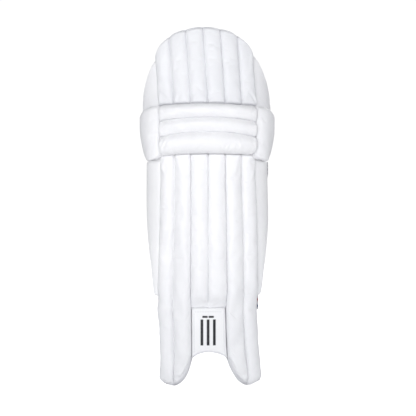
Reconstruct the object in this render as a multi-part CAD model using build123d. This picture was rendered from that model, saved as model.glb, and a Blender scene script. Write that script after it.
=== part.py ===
from build123d import *
import os
from math import asin, atan2, copysign, cos, degrees, hypot, radians, sin

# A left-leg cricket batting pad: a vertical cane-channel shin guard, a knee roll of three horizontal
# bolsters and a domed top hat, held on the leg by two hook-and-loop straps.
# Millimetres, +Z up. The front faces -Y, the wearer's leg axis is the Z axis, and Z = 0 is the toes' lowest
# point. "inner" is the -X side of the leg and "outer" the +X side.

# ---- overall ----
HEIGHT = 760.0
LAYER_GAP = 0.4          # running gap between two bodies

# ---- shin guard: layers on a vertical cylinder, by distance from its axis ----
SHIN_RADIUS = 160.0      # front face of the foam sheet
SHIN_FRONT_Y = -86.0     # where that face crosses the middle
LINING = 2.5
FOAM_SHEET = 5.5
SEAM_DEPTH = 8.0         # filling left under a stitched seam
CHANNEL_DEPTH = 20.0
FACING = 1.5
CHANNEL_COUNT = 6
CHANNEL_PITCH = 35.0
SHIN_TOP = 493.0
SHIN_TOP_SLOPE = -0.6    # the channels' ends slope away in front, to leave room for the knee's bend

# ---- toes and instep ----
TOE_TIP_X = 72.0
TOE_HEEL = (94.0, 10.0)  # on the toe's round outer corner
TOE_OUTER_X = 104.0
TOE_OUTER_Z = 40.0
OUTLINE_X = 200.0        # clear of the pad's sides
TOE_INNER = (48.0, 24.0)
ARCH_FOOT = (38.0, 48.0)
ARCH_TOP = 82.0
BINDING = 2.5
INSTEP_TOP = 170.0
INSTEP_DEPTH = 12.0
INSTEP_GAP = 1.0         # between the patch and the channels that end above it

# ---- canes ----
CANE_RADIUS = 4.0
CANE_SPACING = 9.5
CANES_PER_CHANNEL = 3
CANE_END_GAP = 12.0
CANE_DEPTH = 0.45        # where the canes stand, as a share of the channel's depth
SHIN_CANE_TOP_GAP = 24.0
HAT_CANE_BOTTOM_GAP = 26.0

# ---- wings: lens-shaped panels from the shin's edge round the calf ----
WING_OUTER_MIDDLE = (131.5, -12.0)
WING_INNER_MIDDLE = (113.0, -6.0)
WING_REAR_Y = 38.0
WING_REAR_OUTER_X = 129.0
WING_REAR_INNER_X = 122.5
WING_TOP = 487.0
WING_TAIL_Z = 190.0
WING_FULL_DEPTH_Z = 425.0
WING_SLOPE_POINT = (-20.0, 312.0)
WING_FRONT_Y = -80.0     # in front of the wings' root
WING_MARGIN = 10.0       # how far the cut runs past the wings' rear edge
WING_LAYERS = {"lining": (0, 0.1), "foam": (0.1, 0.9), "cover": (0.9, 1)}

# ---- knee roll ----
KNEE_BOTTOM = 497.5
KNEE_TOP = 595.0
KNEE_SIDE_BOTTOM = 494.5  # the side bolsters hang lower than the front panel
KNEE_PANEL_ANGLE = 29.5  # half the angle that the three bolsters cover
KNEE_CROWN_RADIUS = 209.0
KNEE_SEAM_RADIUS = 199.0
KNEE_END_RADIUS = 187.0  # where the outer bolsters turn under at the roll's top and bottom
KNEE_SHEET_MARGIN = 0.5  # degrees by which the knee's sheets stop short of the shin's
KNEE_SIDE_OUTER = (140.0, -62.0)
KNEE_SIDE_REAR = (131.0, 14.0)
KNEE_SIDE_REAR_WIDTH = 16.0
KNEE_SIDE_INNER = (112.0, -34.0)
KNEE_SIDE_START_DEPTH = 6.0  # how far below the crown the side bolster's cover starts
KNEE_CUP_DEPTH = 12.0
KNEE_CUP_ANGLE = 24.0
KNEE_CUP_MARGIN = 12.0
KNEE_DISH_RADIUS = 70.0
KNEE_DISH_DEPTH = 7.0
LOCATOR_ANGLE = 32.0
LOCATOR_RADIUS = 11.0
LOCATOR_MARGIN = 10.0

# ---- top hat ----
HAT_RADIUS = 200.0
HAT_PITCH = 35.5
HAT_BOTTOM = 598.5
HAT_BOTTOM_SLOPE = 0.6
HAT_HALF_WIDTH = 138.0
HAT_SHOULDER = (129.0, 653.0)
HAT_CORNER = (99.0, 717.0)
HAT_LEAN = 4.0           # degrees towards the inner side
HAT_SIDE_MIDDLE = (134.0, -32.0)
HAT_SIDE_REAR = (140.0, 6.0)
HAT_SIDE_THICKNESS = 16.0
HAT_SIDE_TURN = (0.9, 0.4)  # how the panel's middle moves in X and Y over its thickness
HAT_SIDE_REAR_TURN = 0.5
HAT_SIDE_LAYERS = {"foam": (0, 0.88), "cover": (0.88, 1)}
HAT_BLANK_BOTTOM = 560.0  # the top hat is drawn from here to above its dome, leaned, then trimmed
HAT_BLANK_TOP = HEIGHT + 20.0
HAT_CANE_CORNER = (8.0, 14.0)  # how far the outermost canes keep in from and below the dome's corners

# ---- inside bolsters ----
BOLSTER_ANGLE = 20.0
BOLSTER_WIDTH = 32.0
BOLSTER_DEPTH = 13.0
BOLSTER_BOTTOM = 205.0
BOLSTER_TOP = 430.0

# ---- straps ----
WEBBING = 2.5
PATCH = 1.2              # a hook or loop patch
HINGE_GAP = 3.0          # bare webbing left to fold between two stiff stretches
GRIP_LENGTH = 13.0
FLAP_SEWN_ANGLE = 6.5    # the ankle flaps: sewn to the lining's edge, bent back, then nearly straight
FLAP_BEND = 52.0
FLAP_CURVE = 220.0
FLAP_REAR_Y = 26.0
# name: middle height, width, how far back the band bows, and where the hook closure starts and ends in Y
STRAPS = {
    "calf": dict(z=467.0, width=34.0, back=98.0, closure=(-8.0, 36.0)),
    "ankle": dict(z=168.0, width=32.0, back=68.0, closure=(-13.0, 24.0)),
}
CALF_ANCHOR_Y = (2.0, 42.0)

# ---- badge: three upright bars and two short ones across their tops ----
BADGE_BAR = 5.6
BADGE_PITCH = 13.0
BADGE_BOTTOM = 93.0
BADGE_TOP = 147.0
BADGE_FILM = 0.6
BADGE_CAP_GAP = 2.4      # between the two short bars
BADGE_CAP_HEIGHT = 3.9

REACH = 300.0            # longer than any cut
AXIS_Y = SHIN_FRONT_Y + SHIN_RADIUS
HAT_AXIS_Y = SHIN_FRONT_Y + HAT_RADIUS
SEAM_RADIUS = SHIN_RADIUS + SEAM_DEPTH + FACING
CHANNEL_ANGLE = degrees(CHANNEL_PITCH / SEAM_RADIUS)
EDGE_ANGLE = CHANNEL_ANGLE * CHANNEL_COUNT / 2
HAT_ANGLE = degrees(HAT_PITCH / (HAT_RADIUS + SEAM_DEPTH + FACING))
HAT_EDGE_ANGLE = HAT_ANGLE * CHANNEL_COUNT / 2
LINING_RADIUS = SHIN_RADIUS - FOAM_SHEET - LINING
parts = {}


# ---- plane geometry ----
def front(axis_y, radius, angle):
    """The point at that radius from a vertical axis on x = 0, angle degrees round from the front."""
    return (radius * sin(radians(angle)), axis_y - radius * cos(radians(angle)))


def circle_through(p, q, r):
    """(centre, radius) of the circle through three points."""
    (ax, ay), (bx, by), (cx, cy) = p, q, r
    d = 2 * (ax * (by - cy) + bx * (cy - ay) + cx * (ay - by))
    a2, b2, c2 = ax * ax + ay * ay, bx * bx + by * by, cx * cx + cy * cy
    ux = (a2 * (by - cy) + b2 * (cy - ay) + c2 * (ay - by)) / d
    uy = (a2 * (cx - bx) + b2 * (ax - cx) + c2 * (bx - ax)) / d
    return (ux, uy), hypot(ax - ux, ay - uy)


def on_circle(centre, radius, angle):
    return (centre[0] + radius * cos(radians(angle)), centre[1] + radius * sin(radians(angle)))


def between(p, q, share):
    return (p[0] + (q[0] - p[0]) * share, p[1] + (q[1] - p[1]) * share)


def flat(a, b):
    return (a, b, 0)


def upright(a, b):
    return (a, -REACH, b)


def sideways(a, b):
    return (-REACH, a, b)


def outline(start, steps, place=flat):
    """A face whose edge runs from start through steps: a point is a line's end, and a pair of points is an
    arc's middle and end. It closes with a line."""
    edges, here = [], start
    for step in [*steps, start]:
        if isinstance(step[0], tuple):
            edges.append(ThreePointArc(place(*here), place(*step[0]), place(*step[1])))
            here = step[1]
        elif hypot(step[0] - here[0], step[1] - here[1]) > 1e-6:
            edges.append(Line(place(*here), place(*step)))
            here = step
    return Face(Wire(edges))


def arc_band(centre, inside, outside, start, end):
    """The face between two radii about centre, from one angle to another."""
    middle = (start + end) / 2
    return outline(
        on_circle(centre, inside, start),
        [
            (on_circle(centre, inside, middle), on_circle(centre, inside, end)),
            on_circle(centre, outside, end),
            (on_circle(centre, outside, middle), on_circle(centre, outside, start)),
        ],
    )


def raise_up(face, low, high):
    """The face extruded from one height to another."""
    return Pos(0, 0, low) * extrude(face, amount=high - low, dir=(0, 0, 1))


def through_front(face):
    return extrude(face, amount=2 * REACH, dir=(0, 1, 0))


def through_side(face):
    return extrude(face, amount=2 * REACH, dir=(1, 0, 0))


def spin(face, axis_y, half_angle):
    """A face drawn in radius and height, turned about the vertical axis to both sides of the front."""
    turned = Rot(0, 0, -90 - half_angle) * Rot(90, 0, 0) * face
    return Pos(0, axis_y, 0) * revolve(turned, axis=Axis.Z, revolution_arc=2 * half_angle)


def both_sides(name, solid):
    """Keeps a +X solid as the outer piece and its mirror image as the inner one."""
    parts[name.format("outer")] = solid
    parts[name.format("inner")] = mirror(solid, about=Plane.YZ)


# ---- channels ----
def seam_angles(index, pitch_angle):
    """The angles of the seams on each side of a channel."""
    start = (index - CHANNEL_COUNT / 2) * pitch_angle
    return start, start + pitch_angle


def channel_fill(index, axis_y, radius, pitch_angle):
    """A channel's filling: flat on the foam sheet and arched in front."""
    low, high = seam_angles(index, pitch_angle)
    middle = (low + high) / 2
    return outline(
        front(axis_y, radius, low),
        [
            front(axis_y, radius + SEAM_DEPTH, low),
            (front(axis_y, radius + CHANNEL_DEPTH, middle), front(axis_y, radius + SEAM_DEPTH, high)),
            front(axis_y, radius, high),
            (front(axis_y, radius, middle), front(axis_y, radius, low)),
        ],
    )


def channels_facing(axis_y, radius, pitch_angle):
    """The facing, one sheet arched over every channel."""
    inside, crown = radius + SEAM_DEPTH, radius + CHANNEL_DEPTH
    seams = [seam_angles(index, pitch_angle) for index in range(CHANNEL_COUNT)]
    steps = [front(axis_y, inside + FACING, seams[0][0])]
    for low, high in seams:
        middle = front(axis_y, crown + FACING, (low + high) / 2)
        steps.append((middle, front(axis_y, inside + FACING, high)))
    steps.append(front(axis_y, inside, seams[-1][1]))
    for low, high in reversed(seams):
        steps.append((front(axis_y, crown, (low + high) / 2), front(axis_y, inside, low)))
    return outline(front(axis_y, inside, seams[0][0]), steps)


def cane_places(index, axis_y, radius, pitch_angle):
    """Where a channel's canes stand, in plan."""
    low, high = seam_angles(index, pitch_angle)
    step = degrees(CANE_SPACING / radius)
    offsets = [n - (CANES_PER_CHANNEL - 1) / 2 for n in range(CANES_PER_CHANNEL)]
    depth = radius + CHANNEL_DEPTH * CANE_DEPTH
    return [front(axis_y, depth, (low + high) / 2 + n * step) for n in offsets]


def rod(place, low, high, radius=CANE_RADIUS):
    return Pos(place[0], place[1], low) * Cylinder(
        radius, high - low, align=(Align.CENTER, Align.CENTER, Align.MIN)
    )


def sheet_band(axis_y, inside, outside, angle):
    return arc_band((0, axis_y), inside, outside, -90 - angle, -90 + angle)


# ---- shin guard ----
def toe_height(x):
    """The highest point of the toes' bottom edge over the width of a cane at x."""
    near = abs(x) - CANE_RADIUS
    if near < ARCH_FOOT[0]:
        return ARCH_TOP
    if near < TOE_INNER[0]:
        return between(TOE_INNER, ARCH_FOOT, (TOE_INNER[0] - near) / (TOE_INNER[0] - ARCH_FOOT[0]))[1]
    return TOE_INNER[1]


def shin_front_outline(lift=0.0):
    """The shin guard seen from the front, down to the toes and the arch between them."""
    arch = ARCH_FOOT
    return outline(
        (-OUTLINE_X, SHIN_TOP),
        [
            (-OUTLINE_X, TOE_OUTER_Z + lift),
            (-TOE_OUTER_X, TOE_OUTER_Z + lift),
            ((-TOE_HEEL[0], TOE_HEEL[1] + lift), (-TOE_TIP_X, lift)),
            (-TOE_INNER[0], TOE_INNER[1] + lift),
            (-arch[0], arch[1] + lift),
            ((0, ARCH_TOP + lift), (arch[0], arch[1] + lift)),
            (TOE_INNER[0], TOE_INNER[1] + lift),
            (TOE_TIP_X, lift),
            ((TOE_HEEL[0], TOE_HEEL[1] + lift), (TOE_OUTER_X, TOE_OUTER_Z + lift)),
            (OUTLINE_X, TOE_OUTER_Z + lift),
            (OUTLINE_X, SHIN_TOP),
        ],
        upright,
    )


def channel_end_cutter(height, slope):
    """A wedge that bevels the channels' front ends: above height if the slope falls forwards, else below it."""
    far = SHIN_FRONT_Y - REACH
    away = height - copysign(REACH, slope)
    steps = [(far, height + slope * REACH), (far, away), (SHIN_FRONT_Y, away)]
    return through_side(outline((SHIN_FRONT_Y, height), steps, sideways))


def make_shin():
    silhouette = through_front(shin_front_outline(BINDING))
    bevel = channel_end_cutter(SHIN_TOP, SHIN_TOP_SLOPE)
    canes = []
    for index in range(CHANNEL_COUNT):
        central = index in (CHANNEL_COUNT // 2 - 1, CHANNEL_COUNT // 2)
        low = INSTEP_TOP + INSTEP_GAP if central else 0.0
        places = cane_places(index, AXIS_Y, SHIN_RADIUS, CHANNEL_ANGLE)
        rods = [rod(p, max(low, toe_height(p[0])) + CANE_END_GAP, SHIN_TOP - SHIN_CANE_TOP_GAP) for p in places]
        canes += rods
        fill = raise_up(channel_fill(index, AXIS_Y, SHIN_RADIUS, CHANNEL_ANGLE), low, SHIN_TOP)
        fill = (fill & silhouette) - bevel
        for one in rods:
            fill -= one
        parts[f"shin_wadding_{index + 1}"] = fill
    facing = raise_up(channels_facing(AXIS_Y, SHIN_RADIUS, CHANNEL_ANGLE), 0, SHIN_TOP)
    instep = raise_up(sheet_band(AXIS_Y, LINING_RADIUS, REACH, CHANNEL_ANGLE), -REACH, INSTEP_TOP + INSTEP_GAP)
    parts["shin_facing"] = (facing & silhouette) - bevel - instep
    parts["shin_canes"] = Compound(children=canes)
    foam = sheet_band(AXIS_Y, SHIN_RADIUS - FOAM_SHEET, SHIN_RADIUS, EDGE_ANGLE)
    lining = sheet_band(AXIS_Y, LINING_RADIUS, SHIN_RADIUS - FOAM_SHEET, EDGE_ANGLE)
    parts["shin_foam_sheet"] = raise_up(foam, 0, SHIN_TOP) & silhouette
    parts["shin_lining"] = raise_up(lining, 0, SHIN_TOP) & silhouette


def make_instep():
    silhouette = through_front(shin_front_outline(BINDING))
    crown = SHIN_RADIUS + INSTEP_DEPTH
    foam = sheet_band(AXIS_Y, SHIN_RADIUS, crown, CHANNEL_ANGLE)
    patch = sheet_band(AXIS_Y, crown, crown + FACING, CHANNEL_ANGLE)
    parts["instep_foam"] = raise_up(foam, 0, INSTEP_TOP) & silhouette
    parts["instep_patch"] = raise_up(patch, 0, INSTEP_TOP) & silhouette
    skin = crown + FACING
    bars = [
        Pos(n * BADGE_PITCH, 0, (BADGE_BOTTOM + BADGE_TOP) / 2)
        * Box(BADGE_BAR, 2 * REACH, BADGE_TOP - BADGE_BOTTOM)
        for n in (-1, 0, 1)
    ]
    caps = [
        Pos(n * BADGE_PITCH / 2, 0, BADGE_TOP + BADGE_BAR)
        * Box(BADGE_PITCH - BADGE_CAP_GAP, 2 * REACH, BADGE_CAP_HEIGHT)
        for n in (-1, 1)
    ]
    film = raise_up(sheet_band(AXIS_Y, skin, skin + BADGE_FILM, CHANNEL_ANGLE), BADGE_BOTTOM, INSTEP_TOP)
    parts["instep_badge"] = Compound(children=[s for bar in bars + caps for s in (film & bar).solids()])


def make_toe_bindings():
    """A strip under each toe, between the outline with the binding and the one without."""
    low = through_front(shin_front_outline(0))
    high = through_front(shin_front_outline(BINDING))
    start = CHANNEL_ANGLE
    block = arc_band((0, AXIS_Y), LINING_RADIUS, SEAM_RADIUS, -90 + start, -90 + EDGE_ANGLE)
    strip = raise_up(block, -BINDING, TOE_OUTER_Z) & (low - high)
    both_sides("toe_binding_{}", max(strip.solids(), key=lambda s: s.volume))


def make_shin_bolsters():
    half = degrees(BOLSTER_WIDTH / 2 / LINING_RADIUS)
    low, high = BOLSTER_ANGLE - half, BOLSTER_ANGLE + half
    face = outline(
        front(AXIS_Y, LINING_RADIUS, low),
        [
            (front(AXIS_Y, LINING_RADIUS, BOLSTER_ANGLE), front(AXIS_Y, LINING_RADIUS, high)),
            (front(AXIS_Y, LINING_RADIUS - BOLSTER_DEPTH, BOLSTER_ANGLE), front(AXIS_Y, LINING_RADIUS, low)),
        ],
    )
    both_sides("shin_bolster_{}", raise_up(face, BOLSTER_BOTTOM, BOLSTER_TOP))


# ---- wings ----
def wing_edge(depth):
    """(front, middle, rear) of an arc through the wing, from 0 on its leg side to 1 on its outer side."""
    radius = LINING_RADIUS + (SEAM_RADIUS - LINING_RADIUS) * depth
    start = front(AXIS_Y, radius, EDGE_ANGLE)
    middle = between(WING_INNER_MIDDLE, WING_OUTER_MIDDLE, depth)
    rear_x = WING_REAR_INNER_X + (WING_REAR_OUTER_X - WING_REAR_INNER_X) * depth
    return start, middle, (rear_x, WING_REAR_Y)


def wing_layer(inside, outside):
    near, far = wing_edge(inside), wing_edge(outside)
    return outline(near[0], [(near[1], near[2]), far[2], (far[1], far[0])])


def wing_side_outline():
    """The wing seen from the side: its rear edge slopes in towards the ankle."""
    tail = wing_edge(0)[0][1]
    return outline(
        (WING_FRONT_Y, WING_TAIL_Z),
        [
            (tail, WING_TAIL_Z),
            (WING_SLOPE_POINT, (WING_REAR_Y, WING_FULL_DEPTH_Z)),
            (WING_REAR_Y + WING_MARGIN, WING_FULL_DEPTH_Z),
            (WING_REAR_Y + WING_MARGIN, WING_TOP),
            (WING_FRONT_Y, WING_TOP),
        ],
        sideways,
    )


def make_wings():
    shape = through_side(wing_side_outline())
    for name, (inside, outside) in WING_LAYERS.items():
        both_sides("wing_" + name + "_{}", raise_up(wing_layer(inside, outside), WING_TAIL_Z, WING_TOP) & shape)


# ---- knee roll ----
def knee_profile(index, skin):
    """One bolster of the knee roll in radius and height; skin is how far its outside stands out."""
    pitch = (KNEE_TOP - KNEE_BOTTOM) / 3
    low, high = KNEE_BOTTOM + index * pitch, KNEE_BOTTOM + (index + 1) * pitch
    seam, crown, end = (r + skin for r in (KNEE_SEAM_RADIUS, KNEE_CROWN_RADIUS, KNEE_END_RADIUS))
    first, last = (SHIN_RADIUS, low), (SHIN_RADIUS, high)
    # a point on each arc, by how far below the crown and how far along the bolster it lies
    end_bulge, end_share = crown - 4, pitch * 0.28
    seam_bulge, seam_share = crown - 2, pitch * 0.15
    crown_share = pitch * 0.55
    if index == 0:
        return first, [
            (end, low),
            ((end_bulge, low + end_share), (crown, low + crown_share)),
            ((seam_bulge, high - seam_share), (seam, high)),
            last,
        ]
    if index == 1:
        return first, [(seam, low), ((crown, low + pitch / 2), (seam, high)), last]
    return first, [
        (seam, low),
        ((seam_bulge, low + seam_share), (crown, high - crown_share)),
        ((end_bulge, high - end_share), (end, high)),
        last,
    ]


def make_knee_roll():
    cover = None
    for index, name in enumerate(("lower", "middle", "upper")):
        start, steps = knee_profile(index, 0)
        fill = spin(outline(start, steps), AXIS_Y, KNEE_PANEL_ANGLE)
        parts[f"knee_bolster_{name}"] = fill
        start, steps = knee_profile(index, FACING)
        outer = spin(outline(start, steps), AXIS_Y, KNEE_PANEL_ANGLE)
        skin = outer - fill
        cover = skin if cover is None else cover + skin
    parts["knee_roll_cover"] = cover
    side = EDGE_ANGLE - KNEE_SHEET_MARGIN
    low, high = KNEE_BOTTOM, KNEE_TOP
    foam = sheet_band(AXIS_Y, SHIN_RADIUS - FOAM_SHEET, SHIN_RADIUS, side)
    lining = sheet_band(AXIS_Y, LINING_RADIUS, SHIN_RADIUS - FOAM_SHEET, side)
    parts["knee_foam_sheet"] = raise_up(foam, low, high)
    parts["knee_lining"] = raise_up(lining, low, high)
    cup = sheet_band(AXIS_Y, LINING_RADIUS - KNEE_CUP_DEPTH, LINING_RADIUS, KNEE_CUP_ANGLE)
    face = AXIS_Y - LINING_RADIUS + KNEE_CUP_DEPTH
    dish = Pos(0, face + KNEE_DISH_RADIUS - KNEE_DISH_DEPTH, (low + high) / 2) * Sphere(KNEE_DISH_RADIUS)
    parts["knee_cup"] = raise_up(cup, low + KNEE_CUP_MARGIN, high - KNEE_CUP_MARGIN) - dish
    place = front(AXIS_Y, LINING_RADIUS, LOCATOR_ANGLE)
    roll = rod(place, low + LOCATOR_MARGIN, high - LOCATOR_MARGIN, radius=LOCATOR_RADIUS)
    leg_side = sheet_band(AXIS_Y, LINING_RADIUS / 2, LINING_RADIUS, 2 * LOCATOR_ANGLE)
    both_sides("knee_locator_{}", roll & raise_up(leg_side, low, high))


def knee_side_layer(shrink):
    """Plan of the side bolster that wraps the knee, drawn shrink inside its cover."""
    start = front(AXIS_Y, KNEE_CROWN_RADIUS - KNEE_SIDE_START_DEPTH - shrink, KNEE_PANEL_ANGLE)
    root = front(AXIS_Y, SHIN_RADIUS, KNEE_PANEL_ANGLE)
    edge = front(AXIS_Y, SHIN_RADIUS, EDGE_ANGLE - KNEE_SHEET_MARGIN)
    between_them = front(AXIS_Y, SHIN_RADIUS, (KNEE_PANEL_ANGLE + EDGE_ANGLE) / 2)
    outer = (KNEE_SIDE_OUTER[0] - shrink, KNEE_SIDE_OUTER[1])
    rear = (KNEE_SIDE_REAR[0] - shrink, KNEE_SIDE_REAR[1])
    rear_inner = (KNEE_SIDE_REAR[0] - KNEE_SIDE_REAR_WIDTH, KNEE_SIDE_REAR[1])
    return outline(root, [start, (outer, rear), rear_inner, (KNEE_SIDE_INNER, edge), (between_them, root)])


def make_knee_sides():
    fill = raise_up(knee_side_layer(FACING), KNEE_SIDE_BOTTOM + FACING, KNEE_TOP - FACING)
    whole = raise_up(knee_side_layer(0), KNEE_SIDE_BOTTOM, KNEE_TOP)
    both_sides("knee_side_bolster_{}", fill)
    both_sides("knee_side_cover_{}", whole - fill)


# ---- top hat ----
def hat_outline():
    """The top hat seen from the front: a dome on straight shoulders."""
    return outline(
        (-HAT_HALF_WIDTH, HAT_BLANK_BOTTOM),
        [
            (-HAT_HALF_WIDTH, HAT_BOTTOM),
            ((-HAT_SHOULDER[0], HAT_SHOULDER[1]), (-HAT_CORNER[0], HAT_CORNER[1])),
            ((0, HEIGHT), HAT_CORNER),
            (HAT_SHOULDER, (HAT_HALF_WIDTH, HAT_BOTTOM)),
            (HAT_HALF_WIDTH, HAT_BLANK_BOTTOM),
        ],
        upright,
    )


def hat_height(x):
    """Height of the dome at a cane's place."""
    centre, radius = circle_through((-HAT_CORNER[0], HAT_CORNER[1]), (0, HEIGHT), HAT_CORNER)
    if abs(x) > HAT_CORNER[0] - HAT_CANE_CORNER[0]:
        return HAT_CORNER[1] - HAT_CANE_CORNER[1]
    return centre[1] + (radius * radius - x * x) ** 0.5


def lean(solid):
    """Tips the top hat towards the inner side about the top of the knee roll."""
    return Pos(0, 0, KNEE_TOP) * Rot(0, -HAT_LEAN, 0) * Pos(0, 0, -KNEE_TOP) * solid


def hat_side_layer(inside, outside):
    """Plan of the panel beside the dome's channels, between two shares of its thickness."""
    def arc(depth):
        thick = HAT_SIDE_THICKNESS * (1 - depth)
        radius = LINING_RADIUS + HAT_RADIUS - SHIN_RADIUS
        radius += (HAT_RADIUS + SEAM_DEPTH + FACING - radius) * depth
        start = front(HAT_AXIS_Y, radius, HAT_EDGE_ANGLE)
        middle = (HAT_SIDE_MIDDLE[0] - thick * HAT_SIDE_TURN[0], HAT_SIDE_MIDDLE[1] + thick * HAT_SIDE_TURN[1])
        return start, middle, (HAT_SIDE_REAR[0] - thick * HAT_SIDE_REAR_TURN, HAT_SIDE_REAR[1])

    near, far = arc(inside), arc(outside)
    return outline(near[0], [(near[1], near[2]), far[2], (far[1], far[0])])


def make_top_hat():
    silhouette = lean(through_front(hat_outline()))
    above = Pos(0, 0, HAT_BOTTOM) * Box(
        2 * REACH, 2 * REACH, REACH, align=(Align.CENTER, Align.CENTER, Align.MIN)
    )
    bevel = channel_end_cutter(HAT_BOTTOM, HAT_BOTTOM_SLOPE)

    def cut_out(face):
        return lean(raise_up(face, HAT_BLANK_BOTTOM, HAT_BLANK_TOP)) & silhouette & above

    fills, canes = [], []
    for index in range(CHANNEL_COUNT):
        places = cane_places(index, HAT_AXIS_Y, HAT_RADIUS, HAT_ANGLE)
        rods = [lean(rod(p, HAT_BOTTOM + HAT_CANE_BOTTOM_GAP, hat_height(p[0]) - CANE_END_GAP)) for p in places]
        canes += rods
        fill = cut_out(channel_fill(index, HAT_AXIS_Y, HAT_RADIUS, HAT_ANGLE)) - bevel
        for one in rods:
            fill -= one
        fills.append(fill)
    parts["top_hat_facing"] = cut_out(channels_facing(HAT_AXIS_Y, HAT_RADIUS, HAT_ANGLE)) - bevel
    parts["top_hat_wadding"] = Compound(children=[s for fill in fills for s in fill.solids()])
    parts["top_hat_canes"] = Compound(children=canes)
    outside, inside = HAT_RADIUS - FOAM_SHEET, HAT_RADIUS - FOAM_SHEET - LINING
    foam = sheet_band(HAT_AXIS_Y, outside, HAT_RADIUS, HAT_EDGE_ANGLE)
    lining = sheet_band(HAT_AXIS_Y, inside, outside, HAT_EDGE_ANGLE)
    parts["top_hat_foam_sheet"] = cut_out(foam)
    parts["top_hat_lining"] = cut_out(lining)
    for name, (near, far) in HAT_SIDE_LAYERS.items():
        panel = hat_side_layer(near, far)
        parts[f"top_hat_side_{name}_outer"] = cut_out(panel)
        parts[f"top_hat_side_{name}_inner"] = cut_out(mirror(panel, about=Plane.YZ))


# ---- straps ----
def angle_at(circle, y):
    """The angle on the +X side of a circle where it has that Y."""
    centre, radius = circle
    return degrees(asin((y - centre[1]) / radius))


def strap_slab(face, strap):
    low, high = strap["z"] - strap["width"] / 2, strap["z"] + strap["width"] / 2
    return raise_up(face, low, high)


def flap_circles():
    """The bend and the straight stretch of an ankle flap's outer face, each as a centre and a radius."""
    edge = front(AXIS_Y, LINING_RADIUS, EDGE_ANGLE)
    turn = radians(EDGE_ANGLE)
    bend = (edge[0] - FLAP_BEND * sin(turn), edge[1] + FLAP_BEND * cos(turn))
    return (bend, FLAP_BEND), ((bend[0] + FLAP_BEND - FLAP_CURVE, bend[1]), FLAP_CURVE)


def flap_plan():
    """The webbing flap that leaves the lining's lower edge and turns straight back."""
    (bend, bend_radius), (run, run_radius) = flap_circles()
    first = EDGE_ANGLE - FLAP_SEWN_ANGLE
    sewn = (first + EDGE_ANGLE) / 2
    turning = (EDGE_ANGLE - 90) / 2
    last = angle_at((run, run_radius), FLAP_REAR_Y)

    def face_points(depth):
        lining = LINING_RADIUS - depth
        return [
            front(AXIS_Y, lining, first),
            front(AXIS_Y, lining, sewn),
            front(AXIS_Y, lining, EDGE_ANGLE),
            on_circle(bend, bend_radius - depth, turning),
            on_circle(bend, bend_radius - depth, 0),
            on_circle(run, run_radius - depth, last / 2),
            on_circle(run, run_radius - depth, last),
        ]

    out, back = face_points(0), face_points(WEBBING)[::-1]
    there = [(out[1], out[2]), (out[3], out[4]), (out[5], out[6])]
    return outline(out[0], there + [back[0], (back[1], back[2]), (back[3], back[4]), (back[5], back[6])])


def closing_circle(name):
    """The surface that a strap's free end closes on: the outer wing, or the outer ankle flap."""
    return circle_through(*wing_edge(1)) if name == "calf" else flap_circles()[1]


def sewn_circle(name):
    """The surface whose leg side carries the strap's sewn end."""
    return circle_through(*wing_edge(0)) if name == "calf" else flap_circles()[1]


def strap_hinges(name):
    """Plan points of the fold at the sewn end and of the one at the free end."""
    centre, radius = sewn_circle(name)
    rear = CALF_ANCHOR_Y[1] if name == "calf" else FLAP_REAR_Y
    middle = radius - WEBBING / 2
    sewn = on_circle(centre, middle, angle_at((centre, radius), rear) + degrees(HINGE_GAP / 2 / middle))
    centre, radius = closing_circle(name)
    outside = radius + 2 * PATCH + LAYER_GAP + WEBBING / 2
    turn = degrees(HINGE_GAP / 2 / outside)
    free = on_circle(centre, outside, angle_at((centre, radius), STRAPS[name]["closure"][1]) + turn)
    return (-sewn[0], sewn[1]), free


def make_strap_root(name, strap):
    """What is sewn to the shin guard: the strap's anchor, and the loop patch that its free end closes on."""
    if name == "calf":
        centre, radius = sewn_circle(name)
        ends = [angle_at((centre, radius), y) for y in CALF_ANCHOR_Y]
        anchor = strap_slab(arc_band(centre, radius - WEBBING, radius, *ends), strap)
    else:
        anchor = strap_slab(flap_plan(), strap)
        parts[f"strap_{name}_flap"] = anchor
    parts[f"strap_{name}_anchor"] = mirror(anchor, about=Plane.YZ)
    centre, radius = closing_circle(name)
    low, high = (angle_at((centre, radius), y) for y in strap["closure"])
    parts[f"strap_{name}_loop"] = strap_slab(arc_band(centre, radius, radius + PATCH, low, high), strap)


def make_strap_end(name, strap):
    """The free end: hook patch, webbing and a grip at its tip."""
    centre, radius = closing_circle(name)
    low, high = (angle_at((centre, radius), y) for y in strap["closure"])
    hook = radius + PATCH + LAYER_GAP
    web = hook + PATCH
    tip = low + degrees(GRIP_LENGTH / web)
    parts[f"strap_{name}_hook"] = strap_slab(arc_band(centre, hook, web, tip, high), strap)
    parts[f"strap_{name}_end"] = strap_slab(arc_band(centre, web, web + WEBBING, tip, high), strap)
    parts[f"strap_{name}_grip"] = strap_slab(arc_band(centre, hook + PATCH / 2, web + WEBBING, low, tip), strap)


def make_strap_band(name, strap):
    """The webbing behind the leg, a shallow arc between the two folds."""
    sewn_hinge, free_hinge = strap_hinges(name)
    middle, bow = circle_through(sewn_hinge, (0, strap["back"]), free_hinge)
    gap = degrees(HINGE_GAP / 2 / bow)
    first = degrees(atan2(free_hinge[1] - middle[1], free_hinge[0] - middle[0])) + gap
    last = degrees(atan2(sewn_hinge[1] - middle[1], sewn_hinge[0] - middle[0])) - gap
    parts[f"strap_{name}_band"] = strap_slab(
        arc_band(middle, bow - WEBBING / 2, bow + WEBBING / 2, first, last), strap
    )


make_shin()
make_instep()
make_toe_bindings()
make_shin_bolsters()
make_wings()
make_knee_roll()
make_knee_sides()
make_top_hat()
for strap_name, strap in STRAPS.items():
    make_strap_root(strap_name, strap)
    make_strap_band(strap_name, strap)
    make_strap_end(strap_name, strap)
    print(strap_name, "folds at", [tuple(round(v, 2) for v in p) for p in strap_hinges(strap_name)])

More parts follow.
